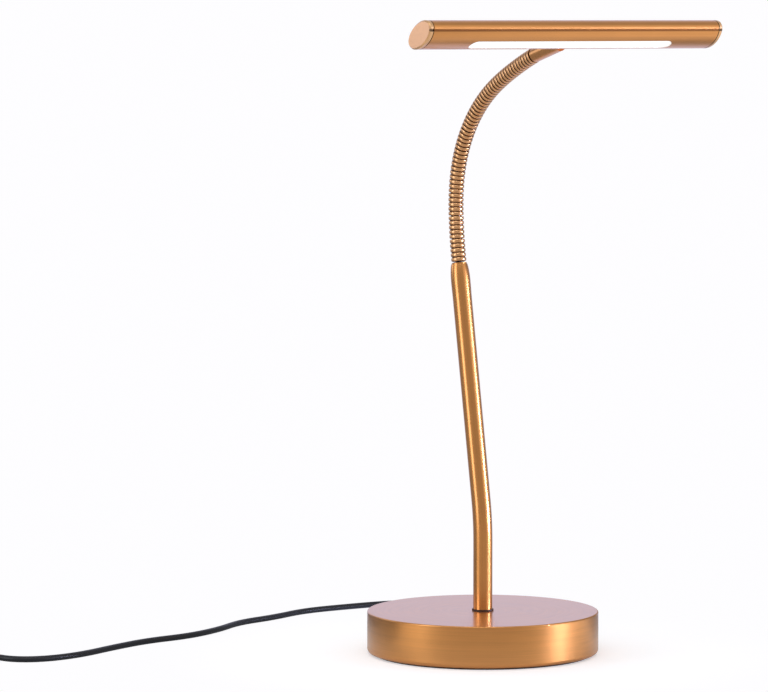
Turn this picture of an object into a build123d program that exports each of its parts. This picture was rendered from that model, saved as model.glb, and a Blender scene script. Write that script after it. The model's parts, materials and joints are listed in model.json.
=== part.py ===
from build123d import *
import os
from math import cos, degrees, pi, radians, sin, sqrt, tan

# A gooseneck piano lamp: a weighted round base, a bent brass pole, a flexible ribbed neck and a
# slim tubular head that holds a strip of lights behind an opal window, with a cord that carries
# a rocker switch and a plug.
# Frame: +Z up from the surface the lamp stands on, the base's centre at the origin, -Y towards
# the player and X along the head. Millimetres.

os.makedirs("parts", exist_ok=True)

X_AXIS = (1, 0, 0)

# ---------------------------------------------------------------- base
BASE_DIAMETER = 150.0
BASE_HEIGHT = 28.0  # top face above the table
SHELL_WALL = 1.5
SHELL_LIFT = 1.0  # the shell's lip stands this far above the table
SHELL_TOP_RADIUS = 0.8
SHELL_LIP_RADIUS = 2.5
SHELL_LIP_WIDTH = 4.0  # the lip turns in this far
LIP_CLEARANCE = 0.5  # between the lip and what is fitted inside it
PAD_THICKNESS = 2.5
PLATE_THICKNESS = 1.5
WEIGHT_RIM_WIDTH = 13.5
CEILING_CLEARANCE = 0.3  # between the cord inside the base and the weight over it
PLATE_SCREWS = 3
PLATE_SCREW_DIAMETER = 3.0
PLATE_SCREW_LENGTH = 9.0
PLATE_SCREW_HEAD = 5.5
SCREW_CLEARANCE = 0.05  # between a screw and its hole, on the radius
HEAD_CLEARANCE = 0.15  # between a screw's head and its recess

# ---------------------------------------------------------------- pole
POLE_DIAMETER = 12.5
POLE_WALL = 1.0
POLE_CORNER_HEIGHT = 86.6  # where the pole's lower and upper axes meet, above the table
POLE_BEND_RADIUS = 160.0
POLE_LEAN = 9.67  # degrees back from upright
POLE_UPPER_LENGTH = 167.3  # from the corner to the pole's top, along the upper axis
NOSE_LENGTH = 22.0  # the stretch that is swaged in at the top
NOSE_DIAMETER = 10.7
NOSE_BORE = 8.8
GASKET_DIAMETER = 14.0
GASKET_THICKNESS = 1.0
NIPPLE_DIAMETER = 10.0
NIPPLE_BORE = 6.5
NIPPLE_ENGAGEMENT = 22.0  # how far the nipple goes up the pole
NIPPLE_CLEARANCE = 0.1
NUT_ACROSS_FLATS = 14.0
NUT_THICKNESS = 5.0
NUT_RECESS_DIAMETER = 22.0
NUT_RECESS_DEPTH = 9.0
WASHER_DIAMETER = 18.0
WASHER_THICKNESS = 1.0
NIPPLE_END = 1.2  # the nipple stands this far below its nut
NIPPLE_CHAMFER = 0.6
BUSH_LENGTH = 16.0

# ---------------------------------------------------------------- neck
NECK_DIAMETER = 10.0  # over the ribs
RIB_PITCH = 3.0
RIB_HEIGHT = 0.8
RIB_WIDTH = 1.9
RIB_ROUNDING = 0.6
RIBS_PER_LINK = 5
NECK_BORE = 5.2
LINK_GAP = 0.8  # between one link's core and the next
FERRULE_GAP = 0.8  # from the last link's end plane to the ferrule's face
# How far each link bends forward, in degrees, from the pole up to the head.
LINK_TURNS = (3.0, 3.6, 6.4, 10.1, 10.9, 10.4, 9.5, 9.1, 7.6, 4.2, 2.3, 3.0)
COLLAR_HEIGHT = 1.6
PLUG_LENGTH = 14.0
PLUG_CLEARANCE = 0.1
LEAD_DIAMETER = 3.0

# ---------------------------------------------------------------- head
HEAD_LENGTH = 222.7  # over both end caps
HEAD_WIDTH = 26.8
HEAD_DEPTH = 15.0
HEAD_ROLL = 26.5  # degrees, front edge up
HEAD_WALL = 1.2
SEAM_DROP = 2.8  # the shells meet this far under the head's mid-plane
SEAM_GROOVE = 0.5  # width of the fine groove cut along the seam
FLOOR_DROP = 5.3  # flat floor inside the lower shell, under the mid-plane
SLOT_LENGTH = 152.5
SLOT_WIDTH = 9.4
CAP_THICKNESS = 2.8
CAP_BEVEL = 0.9
CAP_GAP = 0.5  # shadow groove between a cap and the shells
CAP_STEP = 0.7  # the groove's depth
CAP_PLUG_LENGTH = 6.0
CAP_NOTCH = 1.3
INNER_CLEARANCE = 0.15  # between the shells and what is fitted into them
DIFFUSER_FLANGE = 1.0
DIFFUSER_RIM = 1.2  # the flange is this much wider than the slot, all round
DIFFUSER_RECESS = 0.9
DIFFUSER_DEPTH = 3.6  # from the floor up to the light board
BOARD_LENGTH = 160.0
BOARD_WIDTH = 8.0
BOARD_THICKNESS = 1.0
BOARD_SCREW_SPREAD = 148.0
BOARD_SCREW_DIAMETER = 2.0
BOARD_SCREW_LENGTH = 6.0
BOARD_SCREW_HEAD = 3.8
SCREW_HEAD_THICKNESS = 1.2
CHIP_PITCH = 6.2
CHIP_COUNT = 23
CHIP_LENGTH = 3.5
CHIP_WIDTH = 2.8
CHIP_THICKNESS = 0.7
SPREADER_THICKNESS = 1.5
SPREADER_END_CLEARANCE = 4.0  # from each end cap's plug
SPREADER_WIDTH = 22.0
BOSS_DIAMETER = 5.0
FERRULE_DIAMETER = 9.4
FERRULE_RISE = 15.0  # degrees above level
FERRULE_LENGTH = 28.7  # from the neck to its shoulder inside the head
FERRULE_OFFSET = -0.9  # its axis at the shoulder, over the head's mid-plane
SHOULDER_INSET = 2.4  # the ferrule's shoulder, inside the head's rear edge
SPIGOT_DIAMETER = 4.8
SPIGOT_CLEARANCE = 0.05
SPIGOT_BORE = 3.4
SPIGOT_REACH = 1.4  # past the bracket, for its clip
CLIP_DIAMETER = 6.6
CLIP_THICKNESS = 0.8
BRACKET_LENGTH = 18.0
BRACKET_WIDTH = 4.0
BRACKET_TOP = 2.2  # above the mid-plane
BRACKET_SCREW_SPREAD = 12.0
BRACKET_SCREW_DIAMETER = 2.0
BRACKET_SCREW_LENGTH = 5.6
BRACKET_SCREW_ENGAGEMENT = 1.6  # in the upper shell

# ---------------------------------------------------------------- cord and what is on it
CORD_DIAMETER = 4.0
CORD_LIFT = 0.1  # clear of the table
EXIT_HEIGHT = 9.0
BOOT_LENGTH = 26.0
BOOT_DIAMETER = 9.0
BOOT_TIP_DIAMETER = 5.6
BOOT_NECK_DIAMETER = 7.0
BOOT_FLANGE = 2.0
HOLE_CLEARANCE = 0.1
CLAMP_WIDTH = 22.0
CLAMP_DEPTH = 6.0
CLAMP_THICKNESS = 1.7
CLAMP_SCREW_SPREAD = 16.0
CLAMP_SCREW_DIAMETER = 2.5
CLAMP_SCREW_LENGTH = 11.0
CLAMP_SCREW_HEAD = 5.0
TERMINAL_SIZE = (16.0, 14.0, 7.0)
TERMINAL_HOLE_DIAMETER = 3.0
TERMINAL_HOLE_DEPTH = 1.5
TERMINAL_BACK = 45.0
DRIVER_SIZE = (50.0, 26.0, 13.0)
DRIVER_FORWARD = 33.0
DRIVER_CLEARANCE = 1.5
DRIVER_CORNER = 2.0
DRIVER_CHAMFER = 0.8
WIRE_DIAMETER = 1.6
WIRE_SPREAD = 10.0
LEAD_HEIGHT = 7.8
LEAD_BEND = 5.0

floor_z = CORD_DIAMETER / 2 + CORD_LIFT
exit_y = BASE_DIAMETER / 2 + BOOT_LENGTH

# The cord from the boot to the switch: out of the base's back, round behind it, and away to the
# left along the table.
SWITCH_CENTRE = (-287.0, 204.0)
SWITCH_LENGTH = 60.0
SWITCH_WIDTH = 26.0
SWITCH_HEIGHT = 16.0
SWITCH_SPLIT = 6.0  # height of the joint between its two halves, and of the cord in it
SWITCH_ENTRY = 4.0  # how far the cord goes in
switch_near = SWITCH_CENTRE[1] - SWITCH_LENGTH / 2
switch_far = SWITCH_CENTRE[1] + SWITCH_LENGTH / 2
CORD_ROUTE = [
    (0, exit_y, EXIT_HEIGHT),
    (0, 121, EXIT_HEIGHT),
    (11, 146, floor_z),
    (36, 160, floor_z),
    (66, 162, floor_z),
    (92, 175, floor_z),
    (95, 202, floor_z),
    (69, 216, floor_z),
    (34, 217.5, floor_z),
    (-4, 216, floor_z),
    (-38, 200, floor_z),
    (-70, 192, floor_z),
    (-98, 171, floor_z),
    (-130, 156, floor_z),
    (-164, 152, floor_z),
    (-196, 139, floor_z),
    (-228, 123, floor_z),
    (-256, 118, floor_z),
    (-275, 126, floor_z),
    (-283, 143, 2.6),
    (SWITCH_CENTRE[0], 161, SWITCH_SPLIT),
    (SWITCH_CENTRE[0], switch_near + SWITCH_ENTRY, SWITCH_SPLIT),
]

COIL_CENTRE = (-314.0, 273.0)
COIL_OUTER_RADIUS = 32.6
COIL_INNER_RADIUS = 13.7
COIL_HEIGHT = 8.3  # two layers of turns
COIL_CORNER = 1.9
LINK_ROUTE = [
    (SWITCH_CENTRE[0], switch_far - SWITCH_ENTRY, SWITCH_SPLIT),
    (SWITCH_CENTRE[0], 246, SWITCH_SPLIT),
    (-284.8, 265, 2.8),
]
TAIL_HEIGHT = 7.5
PLUG_X = -342.5
PLUG_ENTRY_Y = 236.0
TAIL_ROUTE = [
    (-344, 267.7, 6.3),
    (PLUG_X, 252, TAIL_HEIGHT),
    (PLUG_X, PLUG_ENTRY_Y, TAIL_HEIGHT),
]

ROCKER_LENGTH = 18.0
ROCKER_WIDTH = 12.0
ROCKER_TILT = 9.0  # degrees either way from level
ROCKER_PIVOT_HEIGHT = 12.5
ROCKER_PIN_DIAMETER = 2.5
ROCKER_PIN_CLEARANCE = 0.05
ROCKER_SIDE_CLEARANCE = 0.4
ROCKER_END_CLEARANCE = 0.6
ROCKER_PIN_REACH = 1.4
ROCKER_DEPTH = 2.0  # under its pivot
ROCKER_RISE = 4.0  # its ends, over its pivot
ROCKER_DIP = 2.8  # its middle, over its pivot
ROCKER_ROUNDING = 0.8
CONTACT_MARGIN = (2.0, 4.0)  # room for the contacts round the rocker, across and along
CONTACT_THICKNESS = 1.0
CONTACT_DROP = 4.6  # the contacts' tops, under the pivot
COVER_UNDERSIDE_DROP = 2.5  # the cover's ceiling over the contacts, under the pivot
SWITCH_FLOOR = 1.8
SWITCH_CORNER = 5.0
SWITCH_TOP_ROUNDING = 2.5
SWITCH_FOOT_ROUNDING = 0.8
SWITCH_SCREW_DIAMETER = 2.5
SWITCH_SCREW_LENGTH = 9.0
SWITCH_SCREW_HEAD = 4.4
SWITCH_SCREW_OFFSET = (8.5, 19.0)

PLUG_BODY = (24.0, 30.0, 15.0)
PLUG_NECK = (16.8, 13.5)  # across and high, where the strain relief joins
PLUG_NECK_LENGTH = 13.5
PLUG_CORNER = 4.0
PLUG_RELIEF_LENGTH = 20.0
PLUG_RELIEF_DIAMETER = 9.0
PLUG_RELIEF_TIP = 5.4
BLADE_SPREAD = 12.7
BLADE_WIDTH = 6.35
BLADE_THICKNESS = 1.5
BLADE_LENGTH = 17.0
BLADE_CHAMFER = 0.4
BLADE_HOLE_DIAMETER = 3.2
BLADE_HOLE_INSET = 4.0  # from the blade's tip


def save(piece, name):
    """Labels one finished piece and writes it as its own file."""
    piece.part.label = name
    export_step(piece.part, f"parts/{name}.step")


def sketch_corner(sketch, x, y):
    """The sketch's corner nearest to a point."""
    return sketch.vertices().sort_by_distance((x, y))[0]


def route_radii(points):
    """For each corner of a cord's route, the largest arc that leaves each run some length."""
    radii = []
    corners = [Vector(p) for p in points]
    for before, corner, after in zip(corners, corners[1:], corners[2:]):
        arriving, leaving = corner - before, after - corner
        turn = radians(arriving.get_angle(leaving))
        radii.append(0.45 * min(arriving.length, leaving.length) / tan(turn / 2))
    return radii


def cord_tube(points, diameter, name):
    """A cord along its route: straight runs joined by tangent arcs."""
    radii = route_radii(points)
    with BuildPart() as tube:
        with BuildLine():
            path = FilletPolyline(*points, radius=radii)
        with BuildSketch(Plane(path @ 0, z_dir=path % 0)):
            Circle(diameter / 2)
        sweep()
    length = path.length
    ratio = tube.part.volume / (pi * diameter**2 / 4 * length)
    print(f"{name}: length {length:.1f}, volume ratio {ratio:.4f}, radii", [round(r, 1) for r in radii])
    save(tube, name)
    return length


# ================================================================ base
base_radius = BASE_DIAMETER / 2
inner_radius = base_radius - SHELL_LIP_WIDTH - LIP_CLEARANCE
plate_top = PAD_THICKNESS + PLATE_THICKNESS
weight_top = BASE_HEIGHT - SHELL_WALL
ceiling = EXIT_HEIGHT + CORD_DIAMETER / 2 + CEILING_CLEARANCE
screw_circle = inner_radius - WEIGHT_RIM_WIDTH / 2
screw_places = [
    (screw_circle * cos(radians(a)), screw_circle * sin(radians(a)))
    for a in (-90 + 360 / PLATE_SCREWS * k for k in range(PLATE_SCREWS))
]
nipple_hole = NIPPLE_DIAMETER / 2 + NIPPLE_CLEARANCE

# Spun brass shell, open underneath, with its lip turned in.
with BuildPart() as base_shell:
    with BuildSketch(Plane.XZ) as wall:
        with BuildLine():
            Polyline(
                (nipple_hole, BASE_HEIGHT),
                (base_radius, BASE_HEIGHT),
                (base_radius, SHELL_LIFT),
                (base_radius - SHELL_LIP_WIDTH, SHELL_LIFT),
                (base_radius - SHELL_LIP_WIDTH, SHELL_LIFT + SHELL_WALL),
                (base_radius - SHELL_WALL, SHELL_LIFT + SHELL_WALL),
                (base_radius - SHELL_WALL, weight_top),
                (nipple_hole, weight_top),
                close=True,
            )
        make_face()
        fillet(sketch_corner(wall, base_radius, BASE_HEIGHT), SHELL_TOP_RADIUS)
        fillet(sketch_corner(wall, base_radius, SHELL_LIFT), SHELL_LIP_RADIUS)
        fillet(
            sketch_corner(wall, base_radius - SHELL_WALL, SHELL_LIFT + SHELL_WALL),
            SHELL_LIP_RADIUS - SHELL_WALL,
        )
    revolve(axis=Axis.Z)
    with BuildSketch(Plane((0, base_radius, EXIT_HEIGHT), x_dir=X_AXIS, z_dir=(0, 1, 0))):
        Circle(BOOT_NECK_DIAMETER / 2 + HOLE_CLEARANCE)
    extrude(amount=-2 * SHELL_WALL, mode=Mode.SUBTRACT)
save(base_shell, "base_shell")

# Cast-iron weight, with a wiring cavity, a pocket for the driver and a notch for the cord.
with BuildPart() as base_weight:
    with BuildSketch(Plane.XY.offset(plate_top)):
        Circle(inner_radius)
    extrude(amount=weight_top - plate_top)
    with BuildSketch(Plane.XY.offset(plate_top)):
        Circle(inner_radius - WEIGHT_RIM_WIDTH)
    extrude(amount=ceiling - plate_top, mode=Mode.SUBTRACT)
    with BuildSketch(Plane.XY.offset(plate_top)):
        Circle(nipple_hole)
    extrude(amount=weight_top - plate_top, mode=Mode.SUBTRACT)
    with BuildSketch(Plane.XY.offset(ceiling)):
        Circle(NUT_RECESS_DIAMETER / 2)
    extrude(amount=NUT_RECESS_DEPTH, mode=Mode.SUBTRACT)
    with BuildSketch(Plane.XY.offset(plate_top)):
        with Locations((0, -DRIVER_FORWARD)):
            Rectangle(DRIVER_SIZE[0] + 2 * DRIVER_CLEARANCE, DRIVER_SIZE[1] + 2 * DRIVER_CLEARANCE)
    extrude(amount=DRIVER_SIZE[2] + DRIVER_CLEARANCE, mode=Mode.SUBTRACT)
    with BuildSketch(Plane.XY.offset(plate_top)):
        with Locations((0, inner_radius)):
            Rectangle(BOOT_DIAMETER + 2 * LIP_CLEARANCE, 2 * WEIGHT_RIM_WIDTH + 2 * LIP_CLEARANCE)
    extrude(amount=EXIT_HEIGHT + BOOT_DIAMETER / 2 + LIP_CLEARANCE - plate_top, mode=Mode.SUBTRACT)
    with BuildSketch(Plane.XY.offset(plate_top)):
        with Locations(*screw_places):
            Circle(PLATE_SCREW_DIAMETER / 2 + SCREW_CLEARANCE)
    extrude(amount=PLATE_SCREW_LENGTH + SCREW_CLEARANCE, mode=Mode.SUBTRACT)
    with BuildSketch(Plane.XY.offset(ceiling)):
        with Locations((0, inner_radius - WEIGHT_RIM_WIDTH - CLAMP_DEPTH)):
            with GridLocations(CLAMP_SCREW_SPREAD, 0, 2, 1):
                Circle(CLAMP_SCREW_DIAMETER / 2 + SCREW_CLEARANCE)
    extrude(amount=CLAMP_SCREW_LENGTH, mode=Mode.SUBTRACT)
save(base_weight, "base_weight")

# Steel cover under the weight, with countersunk screws.
with BuildPart() as base_plate:
    with BuildSketch(Plane.XY.offset(PAD_THICKNESS)):
        Circle(inner_radius)
    extrude(amount=PLATE_THICKNESS)
    with Locations(Plane((0, 0, PAD_THICKNESS), x_dir=X_AXIS, z_dir=(0, 0, -1))):
        with Locations(*[(x, -y) for x, y in screw_places]):
            CounterSinkHole(
                PLATE_SCREW_DIAMETER / 2 + SCREW_CLEARANCE,
                PLATE_SCREW_HEAD / 2,
                depth=PLATE_THICKNESS,
                counter_sink_angle=90,
            )
save(base_plate, "base_plate")

# Countersunk screws that hold the cover to the weight's rim.
with BuildPart() as plate_screws:
    for x, y in screw_places:
        with BuildSketch(Plane((x, y, PAD_THICKNESS), x_dir=X_AXIS, z_dir=(0, -1, 0))):
            with BuildLine():
                Polyline(
                    (0, 0),
                    (PLATE_SCREW_HEAD / 2 - HEAD_CLEARANCE, 0),
                    (PLATE_SCREW_DIAMETER / 2, (PLATE_SCREW_HEAD - PLATE_SCREW_DIAMETER) / 2),
                    (PLATE_SCREW_DIAMETER / 2, PLATE_THICKNESS + PLATE_SCREW_LENGTH),
                    (0, PLATE_THICKNESS + PLATE_SCREW_LENGTH),
                    close=True,
                )
            make_face()
        revolve(axis=Axis((x, y, 0), (0, 0, 1)))
save(plate_screws, "plate_screws")

# Soft pad that the lamp stands on.
with BuildPart() as foot_pad:
    with BuildSketch():
        Circle(inner_radius)
    extrude(amount=PAD_THICKNESS)
save(foot_pad, "foot_pad")

# ================================================================ pole
pole_radius = POLE_DIAMETER / 2
pole_bore = pole_radius - POLE_WALL
pole_foot = BASE_HEIGHT + GASKET_THICKNESS


def leaning(distance, lean=POLE_LEAN, start=(0, 0, POLE_CORNER_HEIGHT)):
    """A point on a line that leans back from upright, this far from its start."""
    return Vector(start) + Vector(0, sin(radians(lean)), cos(radians(lean))) * distance


def upright_plane(origin, lean):
    """The plane square to an axis that leans back, with its y towards the lamp's back."""
    return Plane(origin, x_dir=X_AXIS, z_dir=(0, sin(radians(lean)), cos(radians(lean))))


pole_top = leaning(POLE_UPPER_LENGTH)
nose_start = leaning(POLE_UPPER_LENGTH - NOSE_LENGTH)
nose_plane = upright_plane(nose_start, POLE_LEAN)
nose_side = Plane(nose_start, x_dir=X_AXIS, z_dir=-nose_plane.y_dir)

with BuildPart() as pole_gasket:
    with BuildSketch(Plane.XY.offset(BASE_HEIGHT)):
        Circle(GASKET_DIAMETER / 2)
        Circle(nipple_hole, mode=Mode.SUBTRACT)
    extrude(amount=GASKET_THICKNESS)
save(pole_gasket, "pole_gasket")

# Brass tube, bent once near its foot and swaged in at its top.
with BuildPart() as pole:
    with BuildLine() as pole_axis:
        FilletPolyline(
            (0, 0, pole_foot),
            (0, 0, POLE_CORNER_HEIGHT),
            nose_start,
            radius=POLE_BEND_RADIUS,
        )
    with BuildSketch(Plane.XY.offset(pole_foot)):
        Circle(pole_radius)
        Circle(pole_bore, mode=Mode.SUBTRACT)
    sweep()
    with BuildSketch(nose_side):
        with BuildLine():
            outside = Spline(
                (pole_radius, 0),
                (NOSE_DIAMETER / 2, NOSE_LENGTH),
                tangents=((0, 1), (-1, 4)),
            )
            Polyline(outside @ 1, (NOSE_BORE / 2, NOSE_LENGTH), (NOSE_BORE / 2, NOSE_LENGTH / 2))
            Polyline((NOSE_BORE / 2, NOSE_LENGTH / 2), (pole_bore, 0), outside @ 0)
        make_face()
    revolve(axis=Axis(nose_start, nose_plane.z_dir))
save(pole, "pole")

# Threaded bush fixed in the pole's foot, the hollow nipple through the base, its washer and nut.
with BuildPart() as pole_bush:
    with BuildSketch(Plane.XY.offset(pole_foot)):
        Circle(pole_bore)
        Circle(nipple_hole, mode=Mode.SUBTRACT)
    extrude(amount=BUSH_LENGTH)
save(pole_bush, "pole_bush")

recess_top = ceiling + NUT_RECESS_DEPTH
nut_top = recess_top - WASHER_THICKNESS
with BuildPart() as pole_nipple:
    with BuildSketch(Plane.XY.offset(nut_top - NUT_THICKNESS - NIPPLE_END)):
        Circle(NIPPLE_DIAMETER / 2)
        Circle(NIPPLE_BORE / 2, mode=Mode.SUBTRACT)
    extrude(amount=pole_foot + NIPPLE_ENGAGEMENT - nut_top + NUT_THICKNESS + NIPPLE_END)
    ends = pole_nipple.edges().filter_by(GeomType.CIRCLE).group_by(Axis.Z)
    chamfer([end.sort_by(SortBy.RADIUS)[-1] for end in (ends[0], ends[-1])], NIPPLE_CHAMFER)
save(pole_nipple, "pole_nipple")

with BuildPart() as nipple_washer:
    with BuildSketch(Plane.XY.offset(nut_top)):
        Circle(WASHER_DIAMETER / 2)
        Circle(nipple_hole, mode=Mode.SUBTRACT)
    extrude(amount=WASHER_THICKNESS)
save(nipple_washer, "nipple_washer")

with BuildPart() as nipple_nut:
    with BuildSketch(Plane.XY.offset(nut_top - NUT_THICKNESS)):
        RegularPolygon(NUT_ACROSS_FLATS / 2, 6, major_radius=False)
        Circle(nipple_hole, mode=Mode.SUBTRACT)
    extrude(amount=NUT_THICKNESS)
save(nipple_nut, "nipple_nut")

# ================================================================ neck
neck_radius = NECK_DIAMETER / 2
root_radius = neck_radius - RIB_HEIGHT
link_length = RIBS_PER_LINK * RIB_PITCH


def bent(plane, length, turn):
    """The plane at the end of an arc that starts square to a plane and turns forward."""
    half = turn / 2
    chord = length * sin(radians(half)) / radians(half) if turn else length
    across = plane.z_dir.rotate(Axis.X, half)
    return Plane(plane.origin + across * chord, x_dir=X_AXIS, z_dir=plane.z_dir.rotate(Axis.X, turn))


def side_of(plane):
    """The plane through a piece's axis, with x across the lamp and y along that axis."""
    return Plane(plane.origin, x_dir=X_AXIS, z_dir=-plane.y_dir)


neck_start = upright_plane(pole_top + nose_plane.z_dir * COLLAR_HEIGHT, POLE_LEAN)
link_planes = [neck_start]
for turn in LINK_TURNS:
    link_planes.append(bent(link_planes[-1], link_length, turn))

# Turned fitting that plugs the neck into the pole's nose, with a collar over the nose's lip.
with BuildPart() as neck_foot_fitting:
    with BuildSketch(side_of(neck_start)):
        with BuildLine():
            Polyline(
                (NECK_BORE / 2, -COLLAR_HEIGHT - PLUG_LENGTH),
                (NOSE_BORE / 2 - PLUG_CLEARANCE, -COLLAR_HEIGHT - PLUG_LENGTH),
                (NOSE_BORE / 2 - PLUG_CLEARANCE, -COLLAR_HEIGHT),
                (neck_radius, -COLLAR_HEIGHT),
                (neck_radius, -LINK_GAP),
                (root_radius, -LINK_GAP / 2),
                (NECK_BORE / 2, -LINK_GAP / 2),
                close=True,
            )
        make_face()
    revolve(axis=Axis(neck_start.origin, neck_start.z_dir))
save(neck_foot_fitting, "neck_foot_fitting")

# The neck's links: a bent core tube under a stack of round ribs.
for number, (start, turn) in enumerate(zip(link_planes, LINK_TURNS), 1):
    share = turn / link_length
    first = bent(start, LINK_GAP / 2, share * LINK_GAP / 2)
    middle = bent(start, link_length / 2, turn / 2)
    last = bent(start, link_length - LINK_GAP / 2, turn - share * LINK_GAP / 2)
    with BuildPart() as neck_link:
        for rib in range(RIBS_PER_LINK):
            low, centre, high = (
                bent(start, place, share * place)
                for place in ((rib + 0.5) * RIB_PITCH + RIB_WIDTH / 2 * k for k in (-1, 0, 1))
            )
            with BuildLine():
                ThreePointArc(low.origin, centre.origin, high.origin)
            with BuildSketch(low):
                Circle(neck_radius)
                Circle((root_radius + NECK_BORE / 2) / 2, mode=Mode.SUBTRACT)
            sweep()
        round_edges = neck_link.edges().filter_by(GeomType.CIRCLE)
        fillet(round_edges.filter_by(lambda e: e.radius > neck_radius - RIB_HEIGHT / 4), RIB_ROUNDING)
        with BuildLine():
            ThreePointArc(first.origin, middle.origin, last.origin)
        with BuildSketch(first):
            Circle(root_radius)
            Circle(NECK_BORE / 2, mode=Mode.SUBTRACT)
        sweep()
    save(neck_link, f"neck_link_{number:02d}")

# ================================================================ head
roll = radians(HEAD_ROLL)
front = Vector(0, -cos(roll), sin(roll))  # towards the head's front edge
above = Vector(0, sin(roll), cos(roll))  # square to the head's window, away from it
half_width = HEAD_WIDTH / 2
half_depth = HEAD_DEPTH / 2
bracket_rear = -half_width + SHOULDER_INSET
bracket_front = bracket_rear + BRACKET_WIDTH
bracket_middle = (bracket_rear + bracket_front) / 2

# The neck's end fitting lies on its own axis and enters the head's rear edge.
ferrule_plane = Plane(
    link_planes[-1].origin,
    x_dir=X_AXIS,
    z_dir=(0, -cos(radians(FERRULE_RISE)), sin(radians(FERRULE_RISE))),
)
shoulder_point = ferrule_plane.origin + ferrule_plane.z_dir * FERRULE_LENGTH
head_centre = shoulder_point - front * bracket_rear - above * FERRULE_OFFSET
section = Plane(head_centre, x_dir=front, z_dir=(-1, 0, 0))  # x to the front edge, y above
shell_half = HEAD_LENGTH / 2 - CAP_THICKNESS - CAP_GAP
board_face = -FLOOR_DROP + DIFFUSER_DEPTH + DIFFUSER_FLANGE  # under the board, from the mid-plane
spreader_face = board_face + BOARD_THICKNESS
boss_face = spreader_face + SPREADER_THICKNESS


def level(height, facing=1):
    """A plane across the head at a height over its mid-plane; facing -1 looks at the window."""
    return Plane(head_centre + above * height, x_dir=X_AXIS, z_dir=above * facing)


def inner_height(across):
    """Height of the shells' inner surface over the mid-plane, this far across the head."""
    return (half_depth - HEAD_WALL) * sqrt(1 - (across / (half_width - HEAD_WALL)) ** 2)


def ferrule_reach(across):
    """Distance along the ferrule's axis to where it is this far across the head."""
    start = (ferrule_plane.origin - head_centre).dot(front)
    return (across - start) / ferrule_plane.z_dir.dot(front)


spigot_end = ferrule_reach(bracket_front + SPIGOT_REACH)

with BuildPart() as neck_end_fitting:
    with BuildSketch(side_of(ferrule_plane)):
        with BuildLine():
            Polyline(
                (SPIGOT_BORE / 2, FERRULE_GAP),
                (root_radius, FERRULE_GAP),
                (FERRULE_DIAMETER / 2, FERRULE_GAP + LINK_GAP / 2),
                (FERRULE_DIAMETER / 2, FERRULE_LENGTH),
                (SPIGOT_DIAMETER / 2, FERRULE_LENGTH),
                (SPIGOT_DIAMETER / 2, spigot_end),
                (SPIGOT_BORE / 2, spigot_end),
                close=True,
            )
        make_face()
    revolve(axis=Axis(ferrule_plane.origin, ferrule_plane.z_dir))
save(neck_end_fitting, "neck_end_fitting")


def shell_half_profile(side):
    """The outer oval on one side of the seam: 1 above it, -1 below it."""
    with BuildSketch(section) as profile:
        Ellipse(half_width, half_depth)
        with Locations((0, -SEAM_DROP - side * HEAD_WIDTH)):
            Rectangle(2 * HEAD_WIDTH, 2 * HEAD_WIDTH, mode=Mode.SUBTRACT)
    return profile.sketch


def cavity_profile(clearance=0.0):
    """The hollow inside both shells: an oval with a flat floor."""
    with BuildSketch(section) as profile:
        Ellipse(half_width - HEAD_WALL - clearance, half_depth - HEAD_WALL - clearance)
        with Locations((0, -FLOOR_DROP + clearance - HEAD_WIDTH)):
            Rectangle(2 * HEAD_WIDTH, 2 * HEAD_WIDTH, mode=Mode.SUBTRACT)
    return profile.sketch


def seam_notches(width):
    """Square notches on their corners, where the seam comes out at the front and the rear."""
    seam_reach = half_width * sqrt(1 - (SEAM_DROP / half_depth) ** 2)
    with BuildSketch(section) as notches:
        with Locations((-seam_reach, -SEAM_DROP), (seam_reach, -SEAM_DROP)):
            Rectangle(width, width, rotation=45)
    return notches.sketch


# Upper shell, with a pad for the neck's bracket and two bosses for the light board.
with BuildPart() as upper_shell:
    extrude(shell_half_profile(1), amount=shell_half, both=True)
    extrude(cavity_profile(), amount=shell_half, both=True, mode=Mode.SUBTRACT)
    with BuildSketch(section):
        with Locations((bracket_middle, BRACKET_TOP + inner_height(bracket_front) / 2)):
            Rectangle(BRACKET_WIDTH, inner_height(bracket_front))
        Ellipse(half_width - HEAD_WALL / 2, half_depth - HEAD_WALL / 2, mode=Mode.INTERSECT)
    extrude(amount=BRACKET_LENGTH / 2, both=True)
    with BuildSketch(level(boss_face)):
        with GridLocations(BOARD_SCREW_SPREAD, 0, 2, 1):
            Circle(BOSS_DIAMETER / 2)
    extrude(amount=half_depth - HEAD_WALL / 2 - boss_face)
    with BuildSketch(level(boss_face)):
        with GridLocations(BOARD_SCREW_SPREAD, 0, 2, 1):
            Circle(BOARD_SCREW_DIAMETER / 2 + SCREW_CLEARANCE)
    hole_depth = BOARD_SCREW_LENGTH - BOARD_THICKNESS - SPREADER_THICKNESS + SCREW_CLEARANCE
    extrude(amount=hole_depth, mode=Mode.SUBTRACT)
    with BuildSketch(level(BRACKET_TOP)):
        with Locations((0, -bracket_middle)):
            with GridLocations(BRACKET_SCREW_SPREAD, 0, 2, 1):
                Circle(BRACKET_SCREW_DIAMETER / 2 + SCREW_CLEARANCE)
    extrude(amount=inner_height(bracket_middle) - BRACKET_TOP, mode=Mode.SUBTRACT)
    with BuildSketch(ferrule_plane):
        Circle(FERRULE_DIAMETER / 2 + HOLE_CLEARANCE)
    extrude(amount=FERRULE_LENGTH, mode=Mode.SUBTRACT)
    with BuildSketch(ferrule_plane):
        Circle(SPIGOT_DIAMETER / 2 + HOLE_CLEARANCE)
    extrude(amount=spigot_end, mode=Mode.SUBTRACT)
    extrude(seam_notches(SEAM_GROOVE), amount=shell_half, both=True, mode=Mode.SUBTRACT)
save(upper_shell, "upper_shell")

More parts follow.
